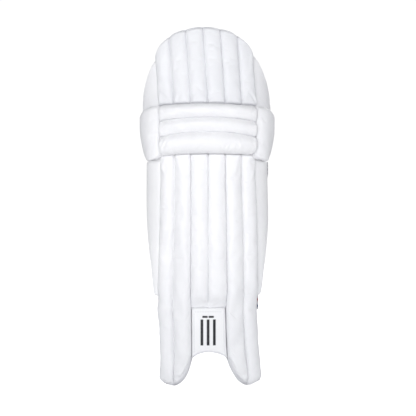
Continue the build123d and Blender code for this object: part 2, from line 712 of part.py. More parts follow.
os.makedirs("parts", exist_ok=True)
for part_name, shape in parts.items():
    export_step(shape, f"parts/{part_name}.step")
print(len(parts), "nodes")
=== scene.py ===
import math

import bmesh
import bpy
import numpy as np
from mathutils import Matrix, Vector


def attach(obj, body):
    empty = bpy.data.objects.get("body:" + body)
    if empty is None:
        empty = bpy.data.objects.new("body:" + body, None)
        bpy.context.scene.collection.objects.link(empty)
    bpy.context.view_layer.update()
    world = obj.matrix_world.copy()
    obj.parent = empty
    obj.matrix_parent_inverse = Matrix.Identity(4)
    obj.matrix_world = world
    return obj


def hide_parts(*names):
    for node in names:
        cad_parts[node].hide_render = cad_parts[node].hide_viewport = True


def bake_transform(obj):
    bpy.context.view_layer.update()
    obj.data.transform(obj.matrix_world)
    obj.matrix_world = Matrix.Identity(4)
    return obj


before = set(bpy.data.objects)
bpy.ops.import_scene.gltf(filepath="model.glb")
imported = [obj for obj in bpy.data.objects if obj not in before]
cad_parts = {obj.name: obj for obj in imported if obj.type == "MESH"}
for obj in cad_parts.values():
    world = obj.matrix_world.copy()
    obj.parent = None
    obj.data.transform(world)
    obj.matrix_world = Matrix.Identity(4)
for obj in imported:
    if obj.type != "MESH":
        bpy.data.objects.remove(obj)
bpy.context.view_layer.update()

SIDES = (("outer", 1), ("inner", -1))  # the name of each side, and the sign of its x

# ---- dimensions in millimetres, the same as the CAD part's ----
AXIS_Y = 74.0  # the vertical line that the shin guard and the knee roll curve round
LINING_R = 152.0
FOAM_BACK_R = 154.5
FOAM_R = 160.0
SEAM_R = 169.5
GROOVE_R = 173.0
CROWN_R = 181.5
PATCH_R = 173.4
PITCH_ANGLE = 11.831  # one channel, in degrees round the axis
EDGE_ANGLE = 35.49
INSTEP_TOP = 170.0
SHIN_TOP = 495.5
BINDING = 2.5
TAIL_Z, WING_TOP = 190.0, 487.0
KNEE_LOW, KNEE_HIGH = 497.5, 595.0
KNEE_SEAMS = [KNEE_LOW, 530.0, 562.5, KNEE_HIGH]
KNEE_SEAM_R, KNEE_CROWN_R = 198.5, 210.5
KNEE_ANGLE = 31.2
HAT_AXIS_Y = 114.0
HAT_LINING_R = 192.0
HAT_SEAM_R = 209.5
HAT_CROWN_R = 221.5
HAT_ANGLE = 9.709
HAT_EDGE = 29.127
HAT_BASE = 596.5
LEAN = math.radians(4.0)
LEAN_Z = 595.0
WEB = 2.5  # thickness of the webbing
PATCH = 1.2  # thickness of a hook or loop patch
CLOSED_GAP = 0.4  # between the two patches of a closed strap

# ---- dimensions of the visual model only ----
LINING_THICK = 2.2
SHIN_PITCH, HAT_PITCH = 35.0, 35.5  # width of a channel
KNEE_ARC_R = 200.0  # where distances round the knee roll are measured
KNEE_BODY_R = 184.0  # the knee roll's bolsters rise from here
HAT_BODY_R, HAT_GROOVE_R, HAT_BACK_R = 202.0, 213.0, 194.6


# ---- small mathematics ----
def front(axis_y, radius, angle):
    """Plan point at a radius from a vertical axis, angle degrees round from the front. Arrays work too."""
    a = np.radians(angle)
    return radius * np.sin(a), axis_y - radius * np.cos(a)


def round_axis(axis_y, radius, angle, z):
    """Grid of points round a vertical axis. Radius, angle and height are stretched to one shape."""
    return np.stack(np.broadcast_arrays(*front(axis_y, radius, angle), z), -1)


def wall(plan, sign, z):
    """Grid of points over plan points at heights z, mirrored where sign is -1."""
    return np.stack(np.broadcast_arrays(plan[..., 0] * sign, plan[..., 1], z), -1)


def mix(a, b, share):
    return a + (b - a) * share


def push(grid, amount, centre=(0, AXIS_Y), flatten=1.0):
    """Moves points outwards in plan from a vertical line; flatten below 1 turns the way towards the side."""
    away = (grid[..., :2] - np.array(centre)) * np.array([1.0, flatten])
    away /= np.linalg.norm(away, axis=-1, keepdims=True)
    moved = grid.copy()
    moved[..., :2] += away * np.asarray(amount)[..., None]
    return moved


def circle_through(*points):
    """Centre and radius of the circle through three points."""
    p, q, r = (complex(*point) for point in points)
    w = (r - p) / (q - p)
    centre = p + (q - p) * (w - abs(w) ** 2) / (2j * w.imag)
    return (centre.real, centre.imag), abs(p - centre)


def chord(radius, offset):
    """Half the width of a circle at a distance from its centre."""
    return np.sqrt(np.clip(radius**2 - offset**2, 0, None))


def arc_points(p, q, r, share):
    """Points along the arc through three plan points; share is an array from 0 at p to 1 at r."""
    (cx, cy), radius = circle_through(p, q, r)
    first, middle, last = (math.atan2(y - cy, x - cx) for x, y in (p, q, r))
    span = (last - first) % (2 * math.pi)
    if (middle - first) % (2 * math.pi) > span:
        span -= 2 * math.pi
    a = first + span * share
    return np.stack([cx + radius * np.cos(a), cy + radius * np.sin(a)], -1)


def smooth(start, end, value):
    """0 up to start, 1 from end on, and a smooth step between them."""
    t = np.clip((value - start) / (end - start), 0, 1)
    return t * t * (3 - 2 * t)


def rounded(distance, reach, power=2.0):
    """0 at an edge, rising as a quarter ellipse to 1 at reach inside it."""
    t = np.clip(1 - distance / reach, 0, 1)
    return (1 - t**power) ** (1 / power)


def bulge(t, power, softness):
    """The crown of a stuffed channel; t runs from -1 at one seam to 1 at the other."""
    return np.clip(1 - np.abs(t) ** power, 0, 1) ** softness


def seam_steps(count):
    """Places from -1 to 1 across a channel, closer together near its seams."""
    return np.sin(np.linspace(-math.pi / 2, math.pi / 2, count + 1))


def across_channels(first, last):
    """Places across channels first to last, counted from the middle; seams are whole numbers."""
    t = (seam_steps(14) + 1) / 2
    return np.concatenate([[first], *(k + t[1:] for k in range(first, last))])


def channel_place(s):
    """Which of the three channels from the middle a place is in, and how far across: -1 to 1."""
    size = np.abs(s)
    channel = np.clip(np.floor(size), 0, 2)
    return channel, 2 * (size - channel) - 1


def beside_seam(t):
    """Strongest a little way in from a channel's seams, and 0 on them."""
    inside = 1 - np.abs(t)
    return np.exp(-inside / 0.30) * (1 - np.exp(-inside / 0.06))


def waves(seed, count, shortest, longest):
    """A repeatable smooth random function of one length."""
    source = np.random.default_rng(seed)
    lengths = source.uniform(shortest, longest, count)
    phases = source.uniform(0, 2 * math.pi, count)
    weights = source.uniform(0.5, 1.0, count)

    def value(a):
        total = sum(w * np.sin(2 * math.pi * a / l + p) for w, l, p in zip(weights, lengths, phases))
        return total / math.sqrt(count)

    return value


def ridges(u, v, segments):
    """Raised and sunk creases along (u0, v0, u1, v1, width, height) segments on a surface."""
    total = np.zeros(np.broadcast(u, v).shape)
    for u0, v0, u1, v1, width, height in segments:
        du, dv = u1 - u0, v1 - v0
        along = ((u - u0) * du + (v - v0) * dv) / (du * du + dv * dv)
        held = np.clip(along, 0, 1)
        away = np.hypot(u - u0 - held * du, v - v0 - held * dv) / width
        sided = np.where((u - u0) * dv - (v - v0) * du > 0, 1.0, -0.6)
        fade = np.clip(1 - np.abs(held - 0.4) / 0.7, 0, 1)
        total += height * fade * sided * away * np.exp(0.5 - away**2)
    return total


pucker = waves(3, 7, 5.0, 17.0)
sway = waves(5, 5, 60.0, 190.0)


# ---- meshes ----
def finish_mesh(name, bm, material):
    bmesh.ops.remove_doubles(bm, verts=bm.verts, dist=1e-5)
    bmesh.ops.recalc_face_normals(bm, faces=bm.faces)
    mesh = bpy.data.meshes.new(name)
    bm.to_mesh(mesh)
    bm.free()
    mesh.shade_smooth()
    obj = bpy.data.objects.new(name, mesh)
    bpy.context.scene.collection.objects.link(obj)
    obj.data.materials.append(material)
    return obj


def add_grid(bm, grid, uv, flip=False):
    """Adds a grid of points in millimetres as faces, with UVs in metres, and returns its vertices."""
    rows, cols = grid.shape[:2]
    verts = [[bm.verts.new(Vector(point) * 0.001) for point in row] for row in grid]
    across, along = np.zeros((2, rows, cols))
    across[:, 1:] = np.cumsum(np.linalg.norm(np.diff(grid, axis=1), axis=2), axis=1)
    along[1:, :] = np.cumsum(np.linalg.norm(np.diff(grid, axis=0), axis=2), axis=0)
    for i in range(rows - 1):
        for j in range(cols - 1):
            corners = [(i, j), (i, j + 1), (i + 1, j + 1), (i + 1, j)][:: -1 if flip else 1]
            face = bm.faces.new([verts[a][b] for a, b in corners])
            for loop, (a, b) in zip(face.loops, corners):
                loop[uv].uv = (across[a, b] * 0.001, along[a, b] * 0.001)
    return verts


def border(verts):
    """The vertices round a grid, in order."""
    loop = verts[0] + [row[-1] for row in verts[1:]]
    return loop + verts[-1][-2::-1] + [row[0] for row in verts[-2:0:-1]]


def closed_form(name, outside, inside, material):
    """A closed pad from its outside and inside grids, joined round their borders."""
    bm = bmesh.new()
    uv = bm.loops.layers.uv.new("UVMap")
    near = border(add_grid(bm, outside, uv))
    far = border(add_grid(bm, inside, uv, flip=True))
    for corners in zip(near[1:] + near[:1], near, far, far[1:] + far[:1]):
        face = bm.faces.new(corners)
        for loop in face.loops:
            loop[uv].uv = next(other[uv].uv.copy() for other in loop.vert.link_loops if other.face != face)
    return finish_mesh(name, bm, material)


def join_rings(bm, rings):
    """Faces between rings of vertices, and one over each end."""
    for one, two in zip(rings, rings[1:]):
        for corners in zip(one, one[1:] + one[:1], two[1:] + two[:1], two):
            bm.faces.new(corners)
    bm.faces.new(rings[0][::-1])
    bm.faces.new(rings[-1])


def ring(bm, centre, side, up, radius, count):
    turns = (2 * math.pi * n / count for n in range(count))
    return [bm.verts.new((centre + (side * math.cos(a) + up * math.sin(a)) * radius) * 0.001) for a in turns]


def tube(name, points, radius, material, sides=10):
    """A round bead along points in millimetres, narrower at its two ends."""
    last = len(points) - 1
    bm = bmesh.new()
    rings, side = [], None
    for k, point in enumerate(points):
        along = Vector(points[min(k + 1, last)] - points[max(k - 1, 0)]).normalized()
        side = (side - along * side.dot(along) if side else along.orthogonal()).normalized()
        thick = radius if 0 < k < last else radius * 0.45
        rings.append(ring(bm, Vector(point), side, along.cross(side), thick, sides))
    join_rings(bm, rings)
    return finish_mesh(name, bm, material)


def sew(name, lines, body):
    """Thread along lines of points in millimetres: short rounded dashes half sunk in the cover."""
    length, gap, radius = 3.6, 1.6, 0.42
    bm = bmesh.new()
    for line in lines:
        travelled = np.concatenate([[0], np.cumsum(np.linalg.norm(np.diff(line, axis=0), axis=1))])
        start = gap
        while start + length < travelled[-1]:
            at = start + length * np.array([0.0, 0.25, 0.75, 1.0])
            dash = [Vector(point) for point in zip(*(np.interp(at, travelled, way) for way in line.T))]
            along = (dash[3] - dash[0]).normalized()
            side = along.orthogonal().normalized()
            thick = (radius * 0.35, radius, radius, radius * 0.35)
            join_rings(bm, [ring(bm, spot, side, along.cross(side), r, 5) for spot, r in zip(dash, thick)])
            start += length + gap
    place(finish_mesh(name, bm, shaded_thread), body)


CLOTH = {"quality": 4, "mass": 0.15, "bending_stiffness": 0.03, "bending_damping": 0.5, "air_damping": 3}
CLOTH |= {"tension_stiffness": 12, "compression_stiffness": 12, "shear_stiffness": 4}
CLOTH |= {"tension_damping": 8, "compression_damping": 8, "shear_damping": 8}
CLOTH |= {"use_pressure": True, "vertex_group_mass": "held"}
CLOTH_FRAMES = 14
FARTHEST = 4.0  # most that a point of a skin may move, in millimetres


def held_border(shape):
    """True round the border of a grid."""
    held = np.zeros(shape, bool)
    held[[0, -1]] = True
    held[:, [0, -1]] = True
    return held


def held_seams(s, shape):
    """True on the seams between channels, where s is a whole number, and round the border."""
    return held_border(shape) | (np.abs(s - np.round(s)) < 1e-6)


def inflate(grid, held, pressure, grow):
    """Blows a sewn skin up from behind by cloth simulation. It stays where held is true, and its cloth is cut
    a little larger than its place, so it puckers along its seams as a stuffed channel does."""
    rows, cols = grid.shape[:2]
    mesh = bpy.data.meshes.new("skin")
    index = np.arange(rows * cols).reshape(rows, cols)
    quads = np.stack([index[:-1, :-1], index[:-1, 1:], index[1:, 1:], index[1:, :-1]], -1).reshape(-1, 4)
    mesh.from_pydata((grid.reshape(-1, 3) * 0.001).tolist(), [], quads.tolist())
    obj = bpy.data.objects.new("skin", mesh)
    scene = bpy.context.scene
    scene.collection.objects.link(obj)
    obj.vertex_groups.new(name="held").add([int(k) for k in index[held]], 1.0, "REPLACE")
    cloth = obj.modifiers.new("cloth", "CLOTH")
    for setting, value in CLOTH.items():
        setattr(cloth.settings, setting, value)
    cloth.settings.uniform_pressure_force = pressure
    cloth.settings.shrink_min = -grow
    cloth.settings.effector_weights.gravity = 0
    cloth.collision_settings.use_collision = False
    cloth.point_cache.frame_start = 1
    cloth.point_cache.frame_end = CLOTH_FRAMES
    for number in range(1, CLOTH_FRAMES + 1):
        scene.frame_set(number)
    places = np.empty(rows * cols * 3)
    obj.evaluated_get(bpy.context.evaluated_depsgraph_get()).data.vertices.foreach_get("co", places)
    scene.frame_set(1)
    bpy.data.objects.remove(obj)
    bpy.data.meshes.remove(mesh)
    moved = places.reshape(rows, cols, 3) * 1000 - grid
    distance = np.linalg.norm(moved, axis=2, keepdims=True)
    return grid + moved * np.minimum(1, FARTHEST / np.maximum(distance, 1e-6))


# ---- materials ----
def fill_in(node, inputs):
    """Sets a node's inputs by name or number. A socket is linked, and anything else is the input's value."""
    for key, value in inputs.items():
        if isinstance(value, bpy.types.NodeSocket):
            node.id_data.links.new(value, node.inputs[key])
        else:
            node.inputs[key].default_value = value


def add_node(tree, kind, inputs, **settings):
    node = tree.nodes.new("ShaderNode" + kind)
    for name, value in settings.items():
        setattr(node, name, value)
    fill_in(node, inputs)
    return node


def new_material(name, space="Object"):
    """A material, its node tree, and the coordinates that its textures follow."""
    material = bpy.data.materials.new(name)
    material.use_nodes = True
    tree = material.node_tree
    return material, tree, add_node(tree, "TexCoord", {}).outputs[space]


def noise(tree, where, scale, detail=3.0, roughness=0.55):
    inputs = {"Vector": where, "Scale": scale, "Detail": detail, "Roughness": roughness}
    return add_node(tree, "TexNoise", inputs).outputs["Fac"]


def cells(tree, where, scale, feature="F1"):
    inputs = {"Vector": where, "Scale": scale}
    return add_node(tree, "TexVoronoi", inputs, feature=feature).outputs["Distance"]


def arithmetic(tree, operation, *values):
    return add_node(tree, "Math", dict(enumerate(values)), operation=operation).outputs["Value"]


def grey_range(tree, value, least, most):
    return add_node(tree, "MapRange", {"Value": value, "To Min": least, "To Max": most}).outputs["Result"]


def multiplied(tree, colour, shade, amount):
    inputs = {"Factor": amount, "A": colour, "B": shade}
    return add_node(tree, "Mix", inputs, data_type="RGBA", blend_type="MULTIPLY").outputs["Result"]


def ramp(tree, value, stops):
    node = add_node(tree, "ValToRGB", {"Fac": value})
    elements = node.color_ramp.elements
    while len(elements) < len(stops):
        elements.new(0.5)
    for element, (position, colour) in zip(elements, stops):
        element.position = position
        element.color = (*colour, 1)
    return node.outputs["Color"]


def bump(tree, height, distance, strength, **under):
    inputs = {"Height": height, "Distance": distance, "Strength": strength, **under}
    return add_node(tree, "Bump", inputs).outputs["Normal"]


def surfaced(material, colour, roughness, normal, **others):
    """Fills in a material's shader and returns the material; _ is a space in the other inputs' names."""
    inputs = {"Base Color": colour, "Roughness": roughness, "Normal": normal}
    inputs.update((name.replace("_", " "), value) for name, value in others.items())
    fill_in(material.node_tree.nodes["Principled BSDF"], inputs)
    return material


def painted_low_shade(tree, where, colour):
    """Darker towards the toes: painted shade, graded by height."""
    height = add_node(tree, "SeparateXYZ", {"Vector": where}).outputs["Z"]
    shades = [(0.02, (0.925, 0.93, 0.935)), (0.19, (0.95, 0.953, 0.957)), (0.30, (1, 1, 1))]
    return multiplied(tree, colour, ramp(tree, height, shades), 1.0)


def leather(name, light, dark, rough=(0.40, 0.52), creases=0.0006):
    """Coated leather: pebbled grain, faint creases, slight colour and gloss variation."""
    material, tree, where = new_material(name)
    tint = ramp(tree, noise(tree, where, 14, 5), [(0.35, dark), (0.65, light)])
    grain = bump(tree, cells(tree, where, 850, "SMOOTH_F1"), 0.00012, 0.6)
    creased = bump(tree, noise(tree, where, 110, 5, 0.6), creases, 0.5, Normal=grain)
    gloss = grey_range(tree, noise(tree, where, 55, 4), *rough)
    coat = {"Specular_IOR_Level": 0.42, "Coat_Weight": 0.06, "Coat_Roughness": 0.35}
    # the tint is darkened towards the toes: painted shade
    return surfaced(material, painted_low_shade(tree, where, tint), gloss, creased, **coat)


def towelling(name, light, dark):
    """Looped cotton: soft, matt and pebbly, with a slight sheen."""
    material, tree, where = new_material(name)
    loops = cells(tree, where, 520)
    tone = arithmetic(tree, "MULTIPLY_ADD", noise(tree, where, 60, 4), 0.7, loops)
    tint, looped = ramp(tree, tone, [(0.25, light), (1.0, dark)]), bump(tree, loops, -0.0007, 0.8)
    return surfaced(material, tint, 0.95, looped, Sheen_Weight=0.25, Sheen_Roughness=0.5)


def woven(name, across, stripes):
    """White webbing along U, across metres wide; stripes are (centre, half width, colour) as shares of it."""
    material, tree, uv = new_material(name, "UV")
    split = add_node(tree, "SeparateXYZ", {"Vector": uv})

    def wave(axis, period):
        turns = arithmetic(tree, "MULTIPLY", split.outputs[axis], 2 * math.pi / period)
        return arithmetic(tree, "SINE", turns)

    threads = arithmetic(tree, "MULTIPLY", wave("X", 0.0022), wave("Y", 0.00143))
    white, edge = (0.82, 0.82, 0.83), 0.012
    stops = [(0.0, white)]
    for centre, half, colour in stripes:
        stops += [(centre - half, white), (centre - half + edge, colour)]
        stops += [(centre + half - edge, colour), (centre + half, white)]
    coloured = ramp(tree, arithmetic(tree, "DIVIDE", split.outputs["Y"], across), stops)
    tint = multiplied(tree, coloured, grey_range(tree, threads, 0.55, 1.0), 0.35)
    return surfaced(material, tint, 0.8, bump(tree, threads, 0.00035, 0.8), Sheen_Weight=0.15)


def pile(name, light, dark, scale, depth):
    """The face of a hook or loop patch."""
    material, tree, where = new_material(name)
    tufts = cells(tree, where, scale)
    tint = ramp(tree, tufts, [(0.1, light), (0.7, dark)])
    return surfaced(material, tint, 0.9, bump(tree, tufts, -depth, 0.9), Sheen_Weight=0.3)


def speckled(name, light, dark, rough, scale, depth):
    """A film, cane or thread surface: two tones of noise with a matching bump."""
    material, tree, where = new_material(name)
    value = noise(tree, where, scale, 4)
    tint = ramp(tree, value, [(0.3, dark), (0.7, light)])
    return surfaced(material, tint, rough, bump(tree, value, depth, 0.7))


white_leather = leather("white_leather", (0.90, 0.90, 0.915), (0.865, 0.865, 0.885))
# the wings' leather is a lighter copy of the white leather: painted light on the wings, which face sideways
wing_lit_leather = leather("wing_lit_leather", (0.96, 0.96, 0.97), (0.925, 0.925, 0.94))
# the hat's leather is a darker copy of the white leather: painted shade on the hat, which leans back from the
# light
hat_shaded_leather = leather("hat_shaded_leather", (0.84, 0.845, 0.868), (0.805, 0.81, 0.837))
patch_leather = leather("patch_leather", (0.92, 0.92, 0.93), (0.89, 0.89, 0.905), (0.34, 0.44), 0.0003)
# the edge leather is darker than the white leather: painted shade on the bindings, pipings and folds
shaded_edge_leather = leather("shaded_edge_leather", (0.81, 0.81, 0.835), (0.76, 0.76, 0.79), (0.45, 0.6), 0.0005)
# the dome's piping is darker still: painted shade along the dome's outline
shaded_piping_leather = leather("shaded_piping_leather", (0.70, 0.71, 0.74), (0.64, 0.65, 0.685), (0.45, 0.6), 0.0004)
lining_cloth = towelling("lining_cloth", (0.84, 0.85, 0.87), (0.68, 0.69, 0.72))
bolster_cloth = towelling("bolster_cloth", (0.87, 0.87, 0.88), (0.72, 0.72, 0.74))
# the thread is grey: painted shade in the seam grooves
shaded_thread = speckled("shaded_thread", (0.64, 0.65, 0.69), (0.54, 0.55, 0.59), 0.7, 2500, 0.0001)
cane_wood = speckled("cane_wood", (0.72, 0.55, 0.30), (0.52, 0.36, 0.17), 0.55, 120, 0.0002)
badge_film = speckled("badge_film", (0.018, 0.019, 0.024), (0.010, 0.010, 0.013), 0.32, 700, 0.00004)
hook_tape = pile("hook_tape", (0.16, 0.16, 0.17), (0.05, 0.05, 0.055), 900, 0.0006)
loop_tape = pile("loop_tape", (0.85, 0.85, 0.86), (0.60, 0.60, 0.62), 620, 0.0008)
CHARCOAL, GREY = (0.20, 0.20, 0.23), (0.33, 0.33, 0.37)
NAVY, SILVER, RED = (0.03, 0.05, 0.22), (0.75, 0.75, 0.76), (0.50, 0.03, 0.04)
calf_stripes = [(0.26, 0.05, CHARCOAL), (0.50, 0.09, GREY), (0.74, 0.05, CHARCOAL)]
calf_webbing = woven("calf_webbing", 0.034, calf_stripes)
ankle_webbing = woven("ankle_webbing", 0.032, [(0.28, 0.07, NAVY), (0.50, 0.05, SILVER), (0.72, 0.07, RED)])


def place(obj, body, nodes=()):
    """Makes a piece ride a body; a piece given two bodies as (a, b, height where it starts, and ends) only
    has its transform baked and does not bend.
    """
    if isinstance(body, tuple):
        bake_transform(obj)
    else:
        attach(obj, body)
    if nodes:
        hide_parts(*nodes)
    return obj


def pad(name, outside, inside, material, body, nodes, fill, fullness=None):
    """A padded piece between two grids. Its thickness falls to nothing where fullness, if given, is 0."""
    if fullness is not None:
        middle = (outside + inside) / 2
        outside, inside = (mix(middle, face, fullness[..., None]) for face in (outside, inside))
    place(closed_form(name, outside, inside, material), body, nodes)


def piping(name, points, radius, body, material=shaded_edge_leather):
    place(tube(name, points, radius, material), body)


KNEE_BEND = ("shin_guard", "knee_roll", 0.464, 0.4985)
HAT_BEND = ("knee_roll", "top_hat", 0.595, 0.622)


def make_lining(name, node, body, curve, bottom, top, rows, quilt=35.0, puff=1.2, shaped=np.array):
    """A thin lining, soft on its leg side and quilted in squares; curve is (axis y, radius, end angle)."""
    axis_y, radius, angle = curve
    turn = np.linspace(-angle, angle, 105)
    z = mix(bottom(turn), top(turn), np.linspace(0, 1, rows)[:, None])
    across, up = (2 * np.abs((way / quilt) % 1 - 0.5) for way in (np.radians(turn) * radius, z))
    soft = bulge(across, 4.0, 0.7) * bulge(up, 4.0, 0.7)
    sewn_side = shaped(round_axis(axis_y, radius + LINING_THICK, turn, z))
    leg_side = shaped(round_axis(axis_y, radius - puff * soft, turn, z))
    pad(name, sewn_side, leg_side, lining_cloth, body, [node], 0.3)


def make_lining_pad(name, node, body, turn, across, z_range, rows, corner, sizes, fill, relief=None):
    """A pad sewn on a lining; across is how full it is over its width. Sizes are how far its edge stands off
    the lining, its depth, and how far its back reaches into the lining. Relief changes its face."""
    base, top = z_range
    edge, depth, backing = sizes
    z = np.linspace(base, top, rows)[:, None]
    full = across * rounded(np.minimum(z - base, top - z), corner)
    radius = LINING_R - edge - depth * full
    if relief:
        radius = radius + relief(z) * full
    back = round_axis(AXIS_Y, np.full(radius.shape, LINING_R + backing), turn, z)
    pad(name, round_axis(AXIS_Y, radius, turn, z), back, bolster_cloth, body, [node], fill)


# ---- shin guard ----
def spread(grid):
    """The shin guard is a little wider than its pattern towards its lower end, most on the outer toe."""
    x, z = grid[..., 0], grid[..., 2]
    outer_z = [0, 22, 60, 95, 165, 215, 350, 440, 500]
    outer = np.interp(z, outer_z, [13.5, 14.5, 11.0, 7.5, 4.2, 6.5, 4.5, 1.0, 0.5])
    inner = np.interp(z, [0, 60, 125, 165, 215, 350, 440], [3.0, 1.0, 3.5, 7.0, 5.5, 1.5, 0.0])
    wider = grid.copy()
    wider[..., 0] = x + outer * smooth(-15, 66, x) - inner * smooth(20, 95, -x)
    return wider


def toe_edge(x):
    """Height of the lower edge seen from the front, toes and arch."""
    x = np.abs(x)
    (corner_x, corner_z), corner_radius = circle_through((104, 40), (94, 10), (72, 0))
    outer = corner_z - chord(corner_radius, np.clip(x, 72, 104) - corner_x)
    (_, arch_z), arch_radius = circle_through((-38, 48), (0, 82), (38, 48))
    arch = arch_z + chord(arch_radius, np.clip(x, 0, 38))
    inner = np.interp(x, [38, 41, 45, 50, 55.5, 62, 67, 72], [48, 38, 27.5, 18, 10, 4.5, 1.5, 0])
    return np.where(x > 72, outer, np.where(x < 38, arch, inner))


def shin_section(s, z):
    """(radius, angle) of the cover at s channels from the middle and height z, away from its ends."""
    channel, t = channel_place(s)
    height = mix(GROOVE_R, CROWN_R, bulge(t, 3.6, 0.52))
    # the outer half of the outer channels rolls over the free edge below the wings
    free = (1 - smooth(172, 214, z)) * ((channel == 2) & (t > 0))
    turn = np.clip(t, 0, 1) * math.radians(96)
    free_edge_r = 165.0
    radius = mix(height, mix(free_edge_r, CROWN_R, np.cos(turn)), free)
    size = mix(np.abs(s), 2.5 + 0.6 * np.sin(turn), free)
    return radius, np.sign(s) * size * PITCH_ANGLE


# across the channels from the middle, down from the top, width, height
SHIN_CREASES = [
    (-103, 20, -90, 52, 3.2, 3.9), (-96, 14, -99, 46, 3.0, 2.7), (-64, 16, -58, 44, 3.2, 2.7),
    (-28, 15, -24, 38, 3.0, 1.8), (56, 46, 63, 14, 3.2, 3.3), (91, 58, 104, 20, 3.4, 4.2),
    (82, 18, 86, 44, 3.0, 2.7), (22, 14, 20, 34, 3.0, 1.7),
]
# across the channels, up from the toe's edge
TOE_CREASES = [
    (52, 6, 66, 20, 2.6, 2.4), (60, 4, 64, 24, 2.4, 2.1), (74, 5, 88, 16, 2.6, 2.5),
    (84, 4, 98, 22, 2.8, 2.4), (92, 3, 86, 15, 2.2, 2.0), (-54, 5, -62, 22, 2.6, 2.1),
    (-66, 4, -60, 16, 2.2, 1.8), (-88, 4, -80, 20, 2.6, 2.1), (-96, 5, -99, 24, 2.6, 2.0),
]


def make_shin_cover(name, first, last, bottom, rows, nodes):
    """The cover over channels first to last, counted from the middle, with its back against the lining."""
    s = across_channels(first, last)
    base = bottom(front(AXIS_Y, 166.0, s * PITCH_ANGLE)[0])
    v = np.linspace(0, 1, rows)
    z = mix(base, SHIN_TOP, (v - 0.045 * np.sin(2 * math.pi * v))[:, None])
    lifted, fall = z - base, SHIN_TOP - z
    radius, angle = shin_section(s, z)
    on_toe = first != -1  # the two middle channels end on the instep patch
    if not on_toe:
        # there they flatten and tuck in
        radius = mix(radius, 167.5, (1 - smooth(0, 36, lifted)) ** 1.4)
    end = rounded(lifted, 15.0 if on_toe else 3.0) * rounded(fall, 6.0)
    skin = spread(round_axis(AXIS_Y, mix(FOAM_R, radius, end), angle, z))
    back = spread(round_axis(AXIS_Y, FOAM_BACK_R, s * PITCH_ANGLE, z))

    _, t = channel_place(s)
    across = s * SHIN_PITCH
    gathers = pucker(z + 40 * np.round(s)) * beside_seam(t) * 0.3
    slack = sway(z + 90 * np.floor(s)) * (1 - t**2) * 0.45
    # creases where the knee roll presses on the outer channels
    slant = waves(61, 4, 15.0, 34.0)(across + fall * 0.55 * np.sign(s))
    gathers = gathers + slant * smooth(1.2, 2.0, np.abs(s)) * np.exp(-fall / 26.0) * 0.8 * (1 - t**2)
    gathers = gathers + ridges(across, fall, SHIN_CREASES) * (1 - t**4)
    toe_gather = waves(11, 5, 4.0, 12.0)(across + 0.4 * z) * np.exp(-lifted / 13.0) * 1.5
    toe_gather = toe_gather * rounded(lifted, 3.0)
    if on_toe:
        toe_gather = toe_gather + ridges(across, lifted, TOE_CREASES)
    skin = inflate(push(skin, gathers + slack + toe_gather), held_seams(s, z.shape), 4.0, 0.012)
    pad(name, skin, back, white_leather, KNEE_BEND, nodes, 0.75)
    return skin, s


def toe_bottom(x):
    return toe_edge(x) + BINDING


outer_toe = make_shin_cover("shin_cover_outer", 1, 3, toe_bottom, 170, ["shin_wadding_5", "shin_wadding_6"])
inner_toe = make_shin_cover("shin_cover_inner", -3, -1, toe_bottom, 170, ["shin_wadding_1", "shin_wadding_2"])
middle_nodes = ["shin_wadding_3", "shin_wadding_4", "shin_facing", "shin_foam_sheet"]
middle_cover = make_shin_cover(
    "shin_cover_middle", -1, 1, lambda x: INSTEP_TOP - 1 + 0 * x, 116, middle_nodes
)


def seam_columns(s):
    """Numbers of the columns that lie on the seams between channels."""
    return [k for k, at in enumerate(s) if abs(at - round(at)) < 1e-6 and abs(at) < 2.9]


shin_seams = [skin[5:-4, k] for skin, s in (inner_toe, middle_cover, outer_toe) for k in seam_columns(s)]
sew("shin_stitches", shin_seams, KNEE_BEND)


def make_canes():
    """Three canes in each channel, from above the toes to just under the knee roll."""
    bm = bmesh.new()
    for channel in range(6):
        middle = (channel - 2.5) * PITCH_ANGLE
        for n in (-1, 0, 1):
            x, y = front(AXIS_Y, FOAM_R + 8.0, middle + n * math.degrees(9.5 / FOAM_R))
            toe = np.max(toe_edge(np.array([x - 4, x, x + 4])))
            bottom = INSTEP_TOP + 8 if channel in (2, 3) else toe
            line = spread(wall(np.array([x, y]), 1, np.linspace(bottom + 16, 462, 14)))
            cane = tube(f"cane_{channel}_{n}", line, 3.6, cane_wood, sides=12)
            bm.from_mesh(cane.data)
            bpy.data.objects.remove(cane)
    place(finish_mesh("shin_cane_rods", bm, cane_wood), "shin_guard", ["shin_canes"])


make_canes()


def make_instep():
    """The smooth patch between the toes, flat enough for the badge."""
    sunk_r, foot_r = 165.0, 168.0
    angle = np.linspace(-PITCH_ANGLE, PITCH_ANGLE, 57) * 0.995
    edge_x = front(AXIS_Y, foot_r, angle)[0]
    base = toe_edge(edge_x) - 3.0 * (1 - smooth(10, 34, np.abs(edge_x)))
    top = INSTEP_TOP + 0.8
    z = mix(base, top, np.linspace(0, 1, 61)[:, None])
    from_side = np.radians(PITCH_ANGLE - np.abs(angle)) * foot_r
    full = rounded(from_side, 6.5) * rounded(z - base, 5.0) * rounded(top - z, 3.5)
    skin = spread(round_axis(AXIS_Y, mix(sunk_r, PATCH_R, full), angle, z))
    back = spread(round_axis(AXIS_Y, FOAM_BACK_R, angle, z))
    pad("instep_pad", skin, back, patch_leather, "shin_guard", ["instep_patch", "instep_foam"], 0.6)
    sew("instep_stitches", [skin[4:-5, 5], skin[4:-5, -6], skin[-6, 5:-5]], "shin_guard")
    piping("instep_piping", skin[1, 3:-3] + np.array([0, -0.8, 0]), 2.1, "shin_guard")


make_instep()


